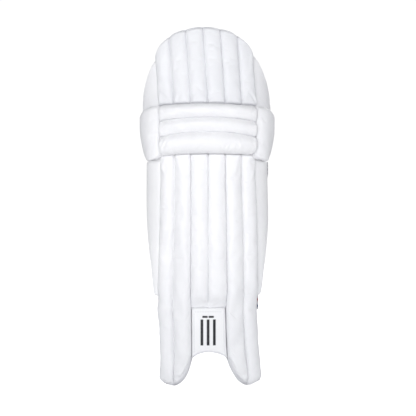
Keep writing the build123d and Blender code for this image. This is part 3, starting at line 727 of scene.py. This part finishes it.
def make_toe_binding(side, skin, s):
    """A strip folded round a toe's lower edge, from the front cover to the lining."""
    rises = np.array([7.0, 5.0, 3.2, 1.6, 0.6])
    columns = [
        np.stack([np.interp(line[0, 2] + rises, line[:, 2], line[:, axis]) for axis in range(3)], -1)
        for line in skin.transpose(1, 0, 2)
    ]
    over = push(np.stack(columns, 1), np.array([0.2, 0.9, 0.9, 0.9, 0.9])[:, None])
    radii = np.array([161.0, 157.0, 153.0, 151.0, 150.7, 151.2])[:, None]
    drops = np.array([1.6, 2.2, 1.8, 0.2, -3.5, -6.5])[:, None]
    under = spread(round_axis(AXIS_Y, radii, s * PITCH_ANGLE, skin[0, :, 2] - drops))
    outside = np.concatenate([over, under])
    centre = np.array([0, AXIS_Y])
    inside = outside.copy()
    inside[..., 2] += 1.0
    inside[:6, :, :2] += (centre - inside[:6, :, :2]) / 160
    inside[8:, :, :2] -= (centre - inside[8:, :, :2]) / 150 * 0.8
    edge = closed_form(f"toe_binding_{side}_edge", outside, inside, shaded_edge_leather)
    place(edge, "shin_guard", [f"toe_binding_{side}"])


make_toe_binding("outer", *outer_toe)
make_toe_binding("inner", *inner_toe)

make_lining(
    "shin_lining_cloth", "shin_lining", KNEE_BEND, (AXIS_Y, LINING_R, EDGE_ANGLE),
    lambda turn: toe_edge(front(AXIS_Y, FOAM_R, turn)[0]) + 1.5, lambda turn: SHIN_TOP, 250, shaped=spread,
)

# the bolsters that stand beside the shin bone
t = np.linspace(-1, 1, 25)
for side, sign in SIDES:
    make_lining_pad(
        f"shin_bolster_roll_{side}", f"shin_bolster_{side}", "shin_guard",
        sign * (20 + math.degrees(16 / LINING_R) * t), bulge(t, 2.2, 0.55), (205.0, 430.0), 90, 13,
        (0.3, 12.7, 0.6), 0.8, lambda z: 0.5 * pucker(z) * np.exp(-(1 - np.abs(t)) / 0.25),
    )


# ---- wings ----
WING_REAR, WING_REAR_Z = 38.0, 425.0  # the wings reach as far back as this from this height up


def wing_edge(depth):
    """Three plan points along the wing at a depth through it: 0 at its lining, 1 at its cover."""
    start = front(AXIS_Y, mix(LINING_R, SEAM_R, depth), EDGE_ANGLE)
    return start, (113 + 18.5 * depth, -6 - 6 * depth), (122.5 + 6.5 * depth, WING_REAR)


def wing_rear(z):
    """How far back the wing reaches at a height."""
    tail = wing_edge(0)[0][1]
    (cy, cz), radius = circle_through((tail, TAIL_Z), (-20.0, 312.0), (WING_REAR, WING_REAR_Z))
    return np.where(z >= WING_REAR_Z, WING_REAR, cy - chord(radius, z - cz))


def wing_layer(depth, sign, z, share):
    """Grid across the wing at a depth through it, share 0 at the shin's edge and 1 at the free edge, and the
    wing's width at each height."""
    edge = wing_edge(depth)
    dense = np.linspace(0, 1, 400)
    reach = np.clip(np.interp(wing_rear(z), arc_points(*edge, dense)[:, 1], dense), 0.02, 1)
    steps = np.diff(arc_points(*edge, np.linspace(0, 1, 65)), axis=0)
    return wall(arc_points(*edge, reach * share), sign, z), reach * np.hypot(*steps.T).sum()


def make_wing(side, sign):
    share = np.linspace(0, 1, 41)
    z = np.concatenate([
        np.linspace(TAIL_Z, 222, 16),
        np.linspace(225, WING_TOP - 10, 84),
        np.linspace(WING_TOP - 8.5, WING_TOP, 9),
    ])[:, None]
    outside, width = wing_layer(1.0, sign, z, share)
    inside, _ = wing_layer(0.12, sign, z, share)
    from_rear = width * (1 - share)
    full = rounded(from_rear, 9.0) * rounded(WING_TOP - z, 9.0) * rounded(z - TAIL_Z + 1, 10.0)
    soft = 3.0 * np.sin(math.pi * share) ** 0.8 * smooth(0, 30, width) - 4.0 * np.exp(-width * share / 5.0)
    wrinkle = 0.4 * pucker(z + 60 * share) * np.exp(-from_rear / 9.0)
    outside = spread(push(outside, soft + wrinkle, (0, 0), 0.35))
    inside = spread(inside)
    full, nodes = np.maximum(full, 0.02), [f"wing_cover_{side}", f"wing_foam_{side}"]
    pad(f"wing_pad_{side}", outside, inside, wing_lit_leather, "shin_guard", nodes, 0.6, full)

    layers = [spread(wing_layer(depth, sign, z, share)[0]) for depth in (0.10, -0.02)]
    trimmed = np.maximum(rounded(from_rear, 3.0) * rounded(WING_TOP - z, 3.0), 0.05)
    nodes = [f"wing_lining_{side}"]
    pad(f"wing_lining_cloth_{side}", *layers, lining_cloth, "shin_guard", nodes, 0.2, trimmed)

    sew(f"wing_stitches_{side}", [outside[14:-9, -7] * 0.93 + inside[14:-9, -7] * 0.07], "shin_guard")
    middle = (outside + inside) / 2
    piping(f"wing_piping_{side}", np.concatenate([middle[2:-1, -1], middle[-1, -3:2:-1]]), 1.7, "shin_guard")


for side, sign in SIDES:
    make_wing(side, sign)


# ---- knee roll ----
def knee_profile(count=13):
    """Radius and height round the three bolsters, from the bottom to the top."""
    first, last = 515.5, 577.5  # heights where the lowest and the highest bolster are fullest
    lip_r = 185.0
    quarter = np.linspace(0, math.pi / 2, count)
    half = np.sin(quarter)[1:]
    full = seam_steps(2 * count)[1:]
    crowns = [bulge(t, 2.2, 0.58) for t in (half, full, half[-2::-1])]
    radius = [
        mix(lip_r, KNEE_CROWN_R, np.sin(quarter) ** 0.85),
        *(mix(KNEE_SEAM_R, KNEE_CROWN_R, crown) for crown in crowns),
        mix(lip_r, KNEE_CROWN_R, np.cos(quarter) ** 0.75),
    ]
    low_seam, high_seam = KNEE_SEAMS[1:3]
    height = [
        mix(first, KNEE_LOW, np.cos(quarter) ** 0.85),
        mix(first, low_seam, half),
        mix(low_seam, high_seam, (1 + full) / 2),
        mix(last, high_seam, half[-2::-1]),
        mix(last, KNEE_HIGH, np.sin(quarter) ** 0.75),
    ]
    return np.concatenate(radius)[:, None], np.concatenate(height)[:, None]


# round the roll from the middle, height, width, height of the crease
KNEE_CREASES = [
    (-100, 503, -88, 526, 2.6, 2.2), (-95, 500, -78, 520, 2.6, 2.0), (-88, 499, -66, 512, 2.4, 1.4),
    (-104, 510, -98, 528, 2.2, 1.6), (-100, 590, -88, 570, 2.6, 1.8), (-92, 592, -82, 576, 2.4, 1.5),
    (-103, 545, -88, 552, 2.4, 1.2), (96, 591, 84, 577, 2.4, 1.3), (100, 505, 88, 520, 2.6, 1.6),
    (34, 502, 44, 515, 2.4, 1.3), (48, 500, 52, 514, 2.2, 1.2), (64, 501, 60, 517, 2.6, 1.3),
    (-20, 500, -16, 511, 2.4, 0.9),
]


def make_knee_roll():
    radius, height = knee_profile()
    turn = np.linspace(-KNEE_ANGLE, KNEE_ANGLE, 115)
    from_end = np.radians(KNEE_ANGLE - np.abs(turn)) * KNEE_ARC_R
    middle = (KNEE_LOW + KNEE_HIGH) / 2
    z = middle + (height - middle) * (1 - np.where(turn > 0, 0.14, 0.05) * (1 - rounded(from_end, 17.0, 2.2)))
    # the two seams arch upwards in the middle, the lower one more
    rise = np.interp(height, KNEE_SEAMS, [0.5, 9.0, 6.0, 0.0])
    drop = np.interp(height, KNEE_SEAMS, [0.5, 2.5, 2.5, 0.0])
    z = z + rise * (1 - (turn / KNEE_ANGLE) ** 2) - drop
    # the lower lip hangs over the shin guard, most at its inner end
    z = z - 5.0 * (1 - smooth(497, 509, height))
    z = z - 2.5 * smooth(16, 30, -turn) * (1 - smooth(500, 540, height))
    along = KNEE_ARC_R * np.radians(turn)
    near = np.min(np.abs(height - np.array(KNEE_SEAMS)), axis=1, keepdims=True)
    gather = np.exp(-near / 5.0) * (1 - np.exp(-near / 1.2))
    folds = gather * pucker(along + 0.6 * height) * 0.35
    pleat = waves(21, 5, 6.0, 14.0)(height) * np.exp(-from_end / 13.0) * (1 - np.exp(-from_end / 3.0)) * 1.1
    under = np.exp(-(height - KNEE_LOW) / 14.0) * waves(23, 6, 6.0, 22.0)(along) * 0.6
    folds = folds + pleat + under + ridges(along, height, KNEE_CREASES)
    r = mix(KNEE_BODY_R, radius, rounded(from_end, 13.0, 2.4)) + folds * smooth(0, 6, from_end)
    skin = round_axis(AXIS_Y, r, turn, z)

    seam_rows = [int(np.argmin(np.abs(height - seam))) for seam in KNEE_SEAMS[1:-1]]
    held = held_border(z.shape)
    held[seam_rows] = True
    skin = inflate(skin, held, 4.0, 0.014)
    back = round_axis(AXIS_Y, FOAM_BACK_R, turn, np.linspace(KNEE_LOW, KNEE_HIGH, len(height))[:, None])
    sew("knee_roll_stitches", [skin[k, 8:-8] for k in seam_rows], "knee_roll")
    for side, sign in SIDES[::-1]:
        end_z = np.linspace(KNEE_LOW + 3, KNEE_HIGH - 6, 40)
        line = round_axis(AXIS_Y, 191.0, sign * KNEE_ANGLE * 1.01, end_z)
        piping(f"knee_roll_piping_{side}", line, 2.0, "knee_roll")
    nodes = ["knee_roll_cover", "knee_foam_sheet"]
    nodes += ["knee_bolster_lower", "knee_bolster_middle", "knee_bolster_upper"]
    pad("knee_roll_pad", skin, back, white_leather, "knee_roll", nodes, 0.8)


make_knee_roll()


def curve_through(points, count):
    """A smooth open curve through plan points, with tangents from the points beside each."""
    points = np.array(points, float)
    steps = np.concatenate([[0], np.cumsum(np.linalg.norm(np.diff(points, axis=0), axis=1))])
    tangents = np.gradient(points, steps, axis=0)
    where = np.linspace(0, steps[-1], count)
    k = np.clip(np.searchsorted(steps, where, side="right") - 1, 0, len(points) - 2)
    h = (steps[k + 1] - steps[k])[:, None]
    t = (where - steps[k])[:, None] / h
    turned = t * (1 - t) * h * ((1 - t) * tangents[k] - t * tangents[k + 1])
    return mix(points[k], points[k + 1], t * t * (3 - 2 * t)) + turned


def make_knee_side(side, sign):
    """The bolster that wraps the side of the knee; it droops a little at its lower outer corner."""
    count, length = 49, 118.0
    share = np.linspace(0, 1, count)
    outer = arc_points(front(AXIS_Y, 203, KNEE_ANGLE), (141.0, -62.0), (131.5, 14.0), share)
    inner_start = [front(AXIS_Y, 158, KNEE_ANGLE), front(AXIS_Y, 157.5, 34.0)]
    inner = curve_through([*inner_start, (103.0, -52.0), (112.0, -34.0), (117.0, -8.0), (117.5, 14.0)], count)
    v = np.concatenate([np.linspace(0, 0.18, 15), np.linspace(0.2, 0.8, 34), np.linspace(0.82, 1, 15)])
    bottom = 482.0 + 7.0 * smooth(0.45, 0.9, share) + 9.0 * np.exp(-share / 0.05)
    top = KNEE_HIGH + 1.0 - 8.0 * smooth(0.15, 0.7, share)
    z = mix(bottom, top, v[:, None])
    lifted = z - bottom
    from_front, from_rear = share * length, (1 - share) * length
    full = rounded(lifted, 22.0, 2.2) * rounded(top - z, 13.0, 2.4)
    full = full * rounded(from_rear, 11.0) * (0.80 + 0.20 * rounded(from_front, 10.0))
    full = np.maximum(full, 0.02)
    gather = waves(31 if sign > 0 else 33, 6, 6.0, 19.0)(from_front + 0.35 * lifted)
    ends = np.exp(-lifted / 15.0) + 0.6 * np.exp(-(top - z) / 12.0)
    # its lower edge hangs outside the shin guard and the wing
    narrow = 9.0 * (1 - smooth(484, 560, z)) ** 1.3 * smooth(0.15, 0.5, share)
    outside = push(wall(outer, sign, z), gather * ends * 0.95 * full - narrow, (0, -10.0))
    inside = wall(inner, sign, z)
    hang = 0.5 + (0.34 - 0.26 * smooth(0.3, 0.55, share)) * (1 - smooth(0, 24, lifted))
    middle = mix(inside, outside, hang[..., None])
    skin, back = (mix(middle, face, full[..., None]) for face in (outside, inside))
    # the simulation's skin faces outwards on both sides
    skin = inflate(skin[:, ::sign], held_border(z.shape), 2.5, 0.012)[:, ::sign]
    nodes = [f"knee_side_bolster_{side}", f"knee_side_cover_{side}"]
    pad(f"knee_side_pad_{side}", skin, back, white_leather, "knee_roll", nodes, 0.8)


for side, sign in SIDES:
    make_knee_side(side, sign)

make_lining(
    "knee_lining_cloth", "knee_lining", "knee_roll", (AXIS_Y, LINING_R, EDGE_ANGLE - 0.5),
    lambda turn: KNEE_LOW + 0.3, lambda turn: KNEE_HIGH - 0.3, 60, quilt=48.5, puff=0.8,
)

# the padded square in front of the knee cap, with a dish in its middle
turn = np.linspace(-24, 24, 61)
make_lining_pad(
    "knee_cup_pad", "knee_cup", "knee_roll",
    turn, rounded(np.radians(24 - np.abs(turn)) * LINING_R, 13), (509.5, 583.0), 45, 13,
    (0.8, 11.2, 0.8), 0.7,
    lambda z: 6.5 * np.exp(-((np.radians(turn) * LINING_R / 30) ** 2 + ((z - 546) / 22) ** 2)),
)

# the rolls that keep the knee in the cup
t = np.linspace(-1, 1, 21)
for side, sign in SIDES:
    make_lining_pad(
        f"knee_locator_roll_{side}", f"knee_locator_{side}", "knee_roll",
        sign * (32 + math.degrees(11 / LINING_R) * t), bulge(t, 2.1, 0.52), (507.5, 585.0), 40, 10,
        (0.4, 10.4, 0.6), 0.8,
    )


# ---- top hat ----
DOME_CIRCLE = circle_through((-99, 717), (0, 760), (99, 717))
SHOULDER_CIRCLE = circle_through((99, 717), (129, 653), (138, 598.5))


def leaned(grid):
    """Tips points towards the inner side about the top of the knee roll."""
    x, rise = grid[..., 0], grid[..., 2] - LEAN_Z
    tipped = grid.copy()
    tipped[..., 0] = x * math.cos(LEAN) - rise * math.sin(LEAN)
    tipped[..., 2] = LEAN_Z + x * math.sin(LEAN) + rise * math.cos(LEAN)
    return tipped


def hat_floor(x):
    """Upright height whose leaned place is the hat's lower edge."""
    return LEAN_Z + (HAT_BASE - LEAN_Z - x * math.sin(LEAN)) / math.cos(LEAN)


def dome(x):
    """Upright height of the dome's sewn edge: level although the hat leans, and round at the corners."""
    size = np.abs(x)
    (_, dome_z), dome_radius = DOME_CIRCLE
    (side_x, side_z), side_radius = SHOULDER_CIRCLE
    crest = dome_z + chord(dome_radius, np.clip(size, 0, 99))
    shoulder = side_z + chord(side_radius, np.clip(size, 99, 138) - side_x)
    level = np.where(size > 99, shoulder, crest) - 1.5 - 0.6 * x * math.sin(LEAN)
    return level + 4.0 * smooth(25, 65, size) - 10.0 * smooth(84, 104, size) ** 1.3


# across the channels from the middle, up from the lower edge, width, height
HAT_CREASES = [
    (105, 3, 88, 34, 3.2, 4.8), (96, 4, 84, 22, 2.8, 3.4), (72, 4, 78, 26, 3.0, 2.7),
    (-58, 4, -50, 28, 3.0, 3.7), (-70, 3, -66, 24, 2.8, 2.7), (-104, 3, -100, 30, 2.8, 2.7),
    (-34, 3, -30, 20, 2.6, 2.4), (36, 3, 42, 24, 2.8, 2.5), (3, 3, 8, 18, 2.6, 1.9),
    (-8, 3, -14, 17, 2.6, 1.7), (-98, 60, -92, 92, 4.0, 1.7), (92, 78, 97, 112, 4.0, 1.5),
]


def make_hat():
    s = across_channels(-3, 3)
    angle = s * HAT_ANGLE
    _, t = channel_place(s)
    edge_x = front(HAT_AXIS_Y, 207.0, angle)[0]
    base, ceiling = hat_floor(edge_x), dome(edge_x) + 0.5 * (bulge(t, 2.0, 0.6) - 0.6)
    v = np.linspace(0, 1, 74)
    z = mix(base, ceiling, (v - 0.06 * np.sin(2 * math.pi * v))[:, None])
    lifted = z - base
    crown = mix(HAT_GROOVE_R, HAT_CROWN_R - 0.8, bulge(t, 4.0, 0.50))
    end = rounded(lifted, 7.0) * rounded(ceiling - z, 9.0, 2.2)
    radius = mix(HAT_BODY_R, crown, end) + beside_seam(t) * pucker(z + 55 * np.round(s)) * 0.25
    radius = radius + ridges(s * HAT_PITCH, lifted, HAT_CREASES) * rounded(lifted, 5.0)
    diagonal = waves(41, 5, 9.0, 26.0)(z * 0.8 + np.radians(angle) * 170)
    radius = radius + diagonal * np.exp(-lifted / 26.0) * (0.4 + 0.5 * smooth(1.2, 2.4, np.abs(s))) * end
    skin = leaned(round_axis(HAT_AXIS_Y, radius, angle, z))
    skin = inflate(skin, held_seams(s, z.shape), 4.0, 0.010)
    back = leaned(round_axis(HAT_AXIS_Y, HAT_BACK_R, angle, z))
    nodes = ["top_hat_facing", "top_hat_wadding", "top_hat_foam_sheet"]
    pad("top_hat_pad", skin, back, hat_shaded_leather, HAT_BEND, nodes, 0.75)
    make_lining(
        "top_hat_lining_cloth", "top_hat_lining", HAT_BEND, (HAT_AXIS_Y, HAT_LINING_R, HAT_EDGE),
        lambda turn: hat_floor(front(HAT_AXIS_Y, HAT_LINING_R, turn)[0]) + 0.3,
        lambda turn: dome(front(HAT_AXIS_Y, 200.0, turn)[0]) - 0.8, 90, shaped=leaned,
    )
    sew("top_hat_stitches", [skin[4:-6, k] for k in seam_columns(s)], HAT_BEND)
    edge = skin[-2, 1:-1] * 0.8 + back[-1, 1:-1] * 0.2 + np.array([0, 0, 0.3])
    piping("top_hat_piping", edge, 2.1, "top_hat", shaded_piping_leather)


make_hat()


def make_hat_side(side, sign):
    """The panel that carries the dome's edge round the side of the thigh."""
    share = np.linspace(0, 1, 41)
    wide = 5.0 if sign < 0 else 4.0

    def plan(radius, thick, extra):
        middle = (134.0 - thick * 0.9 + extra, -32.0 + thick * 0.4)
        rear = (140.0 - thick * 0.5 + extra * 0.5, 6.0)
        return arc_points(front(HAT_AXIS_Y, radius, HAT_EDGE), middle, rear, share)

    outer = plan(HAT_SEAM_R, 0.0, wide)
    base = hat_floor(outer[:, 0] * sign) - 9.0 * smooth(-0.02, 0.3, share)
    start = 714.0
    corner = float(dome(outer[0, 0] * sign))
    ceiling = start - 92.0 * smooth(-0.12, 0.92, share) - (start - corner) * (1 - smooth(0, 0.12, share))
    z = mix(base, ceiling, np.linspace(0, 1, 60)[:, None])
    full = rounded((1 - share) * 95.0, 9.0) * rounded(ceiling - z, 11.0) * rounded(z - base, 4.0)
    full = np.maximum(full, 0.02)
    outside, inside = wall(outer, sign, z), wall(plan(HAT_LINING_R, 16.0, 0.0), sign, z)
    # higher up it leans in to meet the dome's shoulder
    (side_x, side_z), side_radius = SHOULDER_CIRCLE
    shoulder = side_x + chord(side_radius, np.clip(z, 598.5, 715) - side_z)
    over = np.maximum(0, outside[..., 0] * sign - shoulder - wide) * sign
    wrinkle = waves(51 if sign > 0 else 53, 6, 8.0, 28.0)(z * 0.7 + share * 60)
    outside[..., 0] += sign * wrinkle * np.exp(-(z - base) / 24.0) * full * 0.6 - over
    inside[..., 0] -= over
    nodes = [f"top_hat_side_cover_{side}", f"top_hat_side_foam_{side}"]
    outside, inside = leaned(outside), leaned(inside)
    pad(f"top_hat_side_pad_{side}", outside, inside, white_leather, HAT_BEND, nodes, 0.6, full)


for side, sign in SIDES:
    make_hat_side(side, sign)


# ---- folds across the two knee joints ----
def make_fold(name, a, b, base, top, angle):
    """The strip of cover that carries on from one section to the next, across the joint."""
    radius, thickness = 155.0, 4.0
    turn = np.linspace(-angle, angle, 61)
    z = np.linspace(base, top, 13)[:, None]
    dip = 1.2 * np.sin(math.pi * (z - base) / (top - base))
    outside = round_axis(AXIS_Y, radius + thickness - dip, turn, z)
    inside = round_axis(AXIS_Y, radius, turn, z)
    bend = (a, b, base * 0.001 + 0.002, top * 0.001 - 0.002)
    place(closed_form(name, outside, inside, shaded_edge_leather), bend)


make_fold("knee_fold", "shin_guard", "knee_roll", 486.0, 502.0, 30.0)
make_fold("hat_fold", "knee_roll", "top_hat", 590.0, 603.5, 28.0)


# ---- straps ----
def ribbon(name, plan, base, top, thickness, material):
    """A flat band on edge along a middle line in plan, with rounded long edges and UVs along it."""
    along = np.gradient(plan, axis=0)
    along /= np.linalg.norm(along, axis=1, keepdims=True)
    side = np.stack([along[:, 1], -along[:, 0]], -1)
    v = np.array([0, 0.012, 0.04, 0.2, 0.4, 0.5, 0.6, 0.8, 0.96, 0.988, 1.0])
    thick = thickness / 2 * np.array([0.35, 0.75, 1, 1, 1, 1, 1, 1, 1, 0.75, 0.35])[:, None, None]
    z = mix(base, top, v)[:, None]
    return closed_form(name, wall(plan + side * thick, 1, z), wall(plan - side * thick, 1, z), material)


def on_circle(circle, radius, angle):
    """Plan points at a radius from a circle's centre, angle degrees from its right."""
    a = np.radians(angle)
    return np.stack([circle[0][0] + radius * np.cos(a), circle[0][1] + radius * np.sin(a)], -1)


def angle_at(circle, y):
    return math.degrees(math.asin((y - circle[0][1]) / circle[1]))


def angle_of(centre, point):
    return math.degrees(math.atan2(point[1] - centre[1], point[0] - centre[0]))


def flap_circles():
    """The bend at the lining's edge and the run behind it that the ankle strap's flaps follow."""
    bend_r, run_r = 52.0, 220.0
    x, y = front(AXIS_Y, LINING_R, EDGE_ANGLE)
    turn = math.radians(EDGE_ANGLE)
    centre = (x - bend_r * math.sin(turn), y + bend_r * math.cos(turn))
    return (centre, bend_r), ((centre[0] + bend_r - run_r, centre[1]), run_r)


def make_strap(name, z, width, back, rear, closure, webbing):
    """A strap from its sewn end, up to rear, round behind the leg, where its middle is at back, to its
    patches, which lie between the two places in closure. Its hinges are short folds of bare webbing."""
    strap, strap_end = f"{name}_strap", f"{name}_strap_end"

    def band(piece, node, line, body, thickness=WEB, inset=0.0, material=webbing):
        base, top = z - width / 2 + inset, z + width / 2 - inset
        obj = ribbon(f"strap_{name}_{piece}", line, base, top, thickness, material)
        place(obj, body, [f"strap_{name}_{node}"])

    # the sewn end, inside the inner wing or on the flaps
    if name == "calf":
        sewn, closing = circle_through(*wing_edge(0)), circle_through(*wing_edge(1))
        first, last = angle_at(sewn, 2.0), angle_at(sewn, rear)
        line = on_circle(sewn, sewn[1] - WEB / 2, np.linspace(first, last, 40))
    else:
        bend, sewn = flap_circles()
        closing = sewn
        on_lining = np.linspace(EDGE_ANGLE - 6.5, EDGE_ANGLE - 0.8, 8)
        line = np.concatenate([
            np.stack(front(AXIS_Y, LINING_R - WEB / 2, on_lining), -1),
            on_circle(bend, bend[1] - WEB / 2, np.linspace(EDGE_ANGLE - 90, 0, 24)),
            on_circle(sewn, sewn[1] - WEB / 2, np.linspace(0.8, angle_at(sewn, rear), 26)),
        ])
        band("sewn_flap", "flap", line, "shin_guard")
    mirror = np.array([-1, 1])
    band("sewn_end", "anchor", line * mirror, "shin_guard")

    # the two hinges
    half_hinge = 1.5
    sewn_r = sewn[1] - WEB / 2
    sewn_angle = angle_at(sewn, rear)
    sewn_hinge = on_circle(sewn, sewn_r, sewn_angle + math.degrees(half_hinge / sewn_r)) * mirror
    tip_angle, closed_angle = (angle_at(closing, y) for y in closure)
    hook_r = closing[1] + PATCH + CLOSED_GAP
    end_r = hook_r + PATCH + WEB / 2
    free_hinge = on_circle(closing, end_r, closed_angle + math.degrees(half_hinge / end_r))

    # the band behind the leg
    bow = circle_through(sewn_hinge, (0, back), free_hinge)
    gap = math.degrees(half_hinge / bow[1])
    first, last = angle_of(bow[0], sewn_hinge) - gap, angle_of(bow[0], free_hinge) + gap
    band("webbing", "band", on_circle(bow, bow[1], np.linspace(first, last, 90)), strap)

    # the free end, its hook patch and grip, and the loop patch on the pad
    grip_angle = tip_angle + math.degrees(13.0 / (hook_r + PATCH))
    covered = np.linspace(closed_angle, grip_angle, 40)
    band("free_end", "end", on_circle(closing, end_r, covered), strap_end)
    hook = on_circle(closing, hook_r + PATCH / 2, covered)
    band("hook_patch", "hook", hook, strap_end, PATCH, 1, hook_tape)
    grip = on_circle(closing, end_r - PATCH / 4, np.linspace(grip_angle, tip_angle, 16))
    band("pull_grip", "grip", grip, strap_end, WEB + PATCH / 2)
    loop = on_circle(closing, closing[1] + PATCH / 2, np.linspace(closed_angle, tip_angle, 40))
    band("loop_patch", "loop", loop, "shin_guard", PATCH, 1, loop_tape)

    # folds of bare webbing at both hinges
    t = np.linspace(0, 1, 11)[:, None]
    sewn_end = on_circle(sewn, sewn_r, sewn_angle) * mirror
    free_end = on_circle(closing, end_r, closed_angle)
    for which, before, hinge, after, a, b in (
        ("sewn", sewn_end, sewn_hinge, on_circle(bow, bow[1], first), "shin_guard", strap),
        ("free", on_circle(bow, bow[1], last), free_hinge, free_end, strap, strap_end),
    ):
        line = (1 - t) ** 2 * before + 2 * t * (1 - t) * hinge + t**2 * after
        fold = ribbon(f"strap_{name}_fold_{which}", line, z - width / 2, z + width / 2, WEB * 0.96, webbing)
        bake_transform(fold)


make_strap("calf", 467.0, 34.0, 98.0, 42.0, (-8.0, 36.0), calf_webbing)
make_strap("ankle", 168.0, 32.0, 68.0, 26.0, (-13.0, 24.0), ankle_webbing)

# ---- carried-over CAD pieces ----
for node_name, material in (("top_hat_canes", cane_wood), ("instep_badge", badge_film)):
    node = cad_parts[node_name]
    node.data.materials.clear()
    node.data.materials.append(material)


# ---- floor, light and camera ----
def split_by_ray(tree, usual, seen, output):
    """Gives camera rays one shader and all other rays the usual one."""
    fac = add_node(tree, "LightPath", {}).outputs["Is Camera Ray"]
    mix = add_node(tree, "MixShader", {"Fac": fac, 1: usual, 2: seen})
    fill_in(tree.nodes[output], {"Surface": mix.outputs["Shader"]})


floor_material, tree, where = new_material("floor")
shader = tree.nodes["Principled BSDF"]
tone = ramp(tree, noise(tree, where, 2.0), [(0.0, (0.78, 0.78, 0.785)), (1.0, (0.80, 0.80, 0.805))])
fill_in(shader, {"Base Color": tone, "Roughness": 0.9, "Specular IOR Level": 0.1})
glow = add_node(tree, "Emission", {"Color": (1.0, 1.0, 1.0, 1), "Strength": 0.75}).outputs["Emission"]
lit = add_node(tree, "AddShader", {0: shader.outputs["BSDF"], 1: glow}).outputs["Shader"]
split_by_ray(tree, shader.outputs["BSDF"], lit, "Material Output")
bm = bmesh.new()
bm.faces.new([bm.verts.new((x, y, -0.0004)) for x, y in ((-8, -8), (8, -8), (8, 8), (-8, 8))])
floor = finish_mesh("floor", bm, floor_material)

world = bpy.data.worlds.new("studio")
world.use_nodes = True
bpy.context.scene.world = world
tree = world.node_tree
background = tree.nodes["Background"]
fill_in(background, {"Color": (0.965, 0.975, 1.0, 1), "Strength": 0.43})
bright = add_node(tree, "Background", {"Color": (1.0, 1.0, 1.0, 1), "Strength": 1.05})
split_by_ray(tree, background.outputs["Background"], bright.outputs["Background"], "World Output")


def area_light(name, where, height, size, power, colour=(1, 1, 1)):
    """A rectangular light aimed at the middle of the pad at a height."""
    data = bpy.data.lights.new(name, "AREA")
    data.shape = "RECTANGLE"
    data.size, data.size_y = size
    data.energy = power
    data.color = colour
    light = bpy.data.objects.new(name, data)
    bpy.context.scene.collection.objects.link(light)
    light.location = where
    light.rotation_euler = (Vector((0, 0, height)) - Vector(where)).to_track_quat("-Z", "Y").to_euler()


area_light("key", (-0.3, -1.75, 0.5), 0.42, (1.0, 1.0), 13)
area_light("left", (-2.0, -1.7, 0.6), 0.38, (1.2, 1.8), 10.8, (0.97, 0.98, 1.0))
area_light("right", (2.0, -1.7, 0.6), 0.38, (1.2, 1.8), 13.0, (0.97, 0.98, 1.0))
area_light("back", (0.3, 2.2, 1.6), 0.4, (1.6, 1.6), 40)

camera_data = bpy.data.cameras.new("camera")
camera_data.sensor_fit = "HORIZONTAL"
camera_data.angle = math.radians(40.1)
camera = bpy.data.objects.new("camera", camera_data)
bpy.context.scene.collection.objects.link(camera)
camera.location = (-0.0314, -1.2896, 0.380)
camera.rotation_euler = (math.radians(90), 0, math.radians(-1.5))
bpy.context.scene.camera = camera
bpy.context.scene.view_settings.view_transform = "Standard"
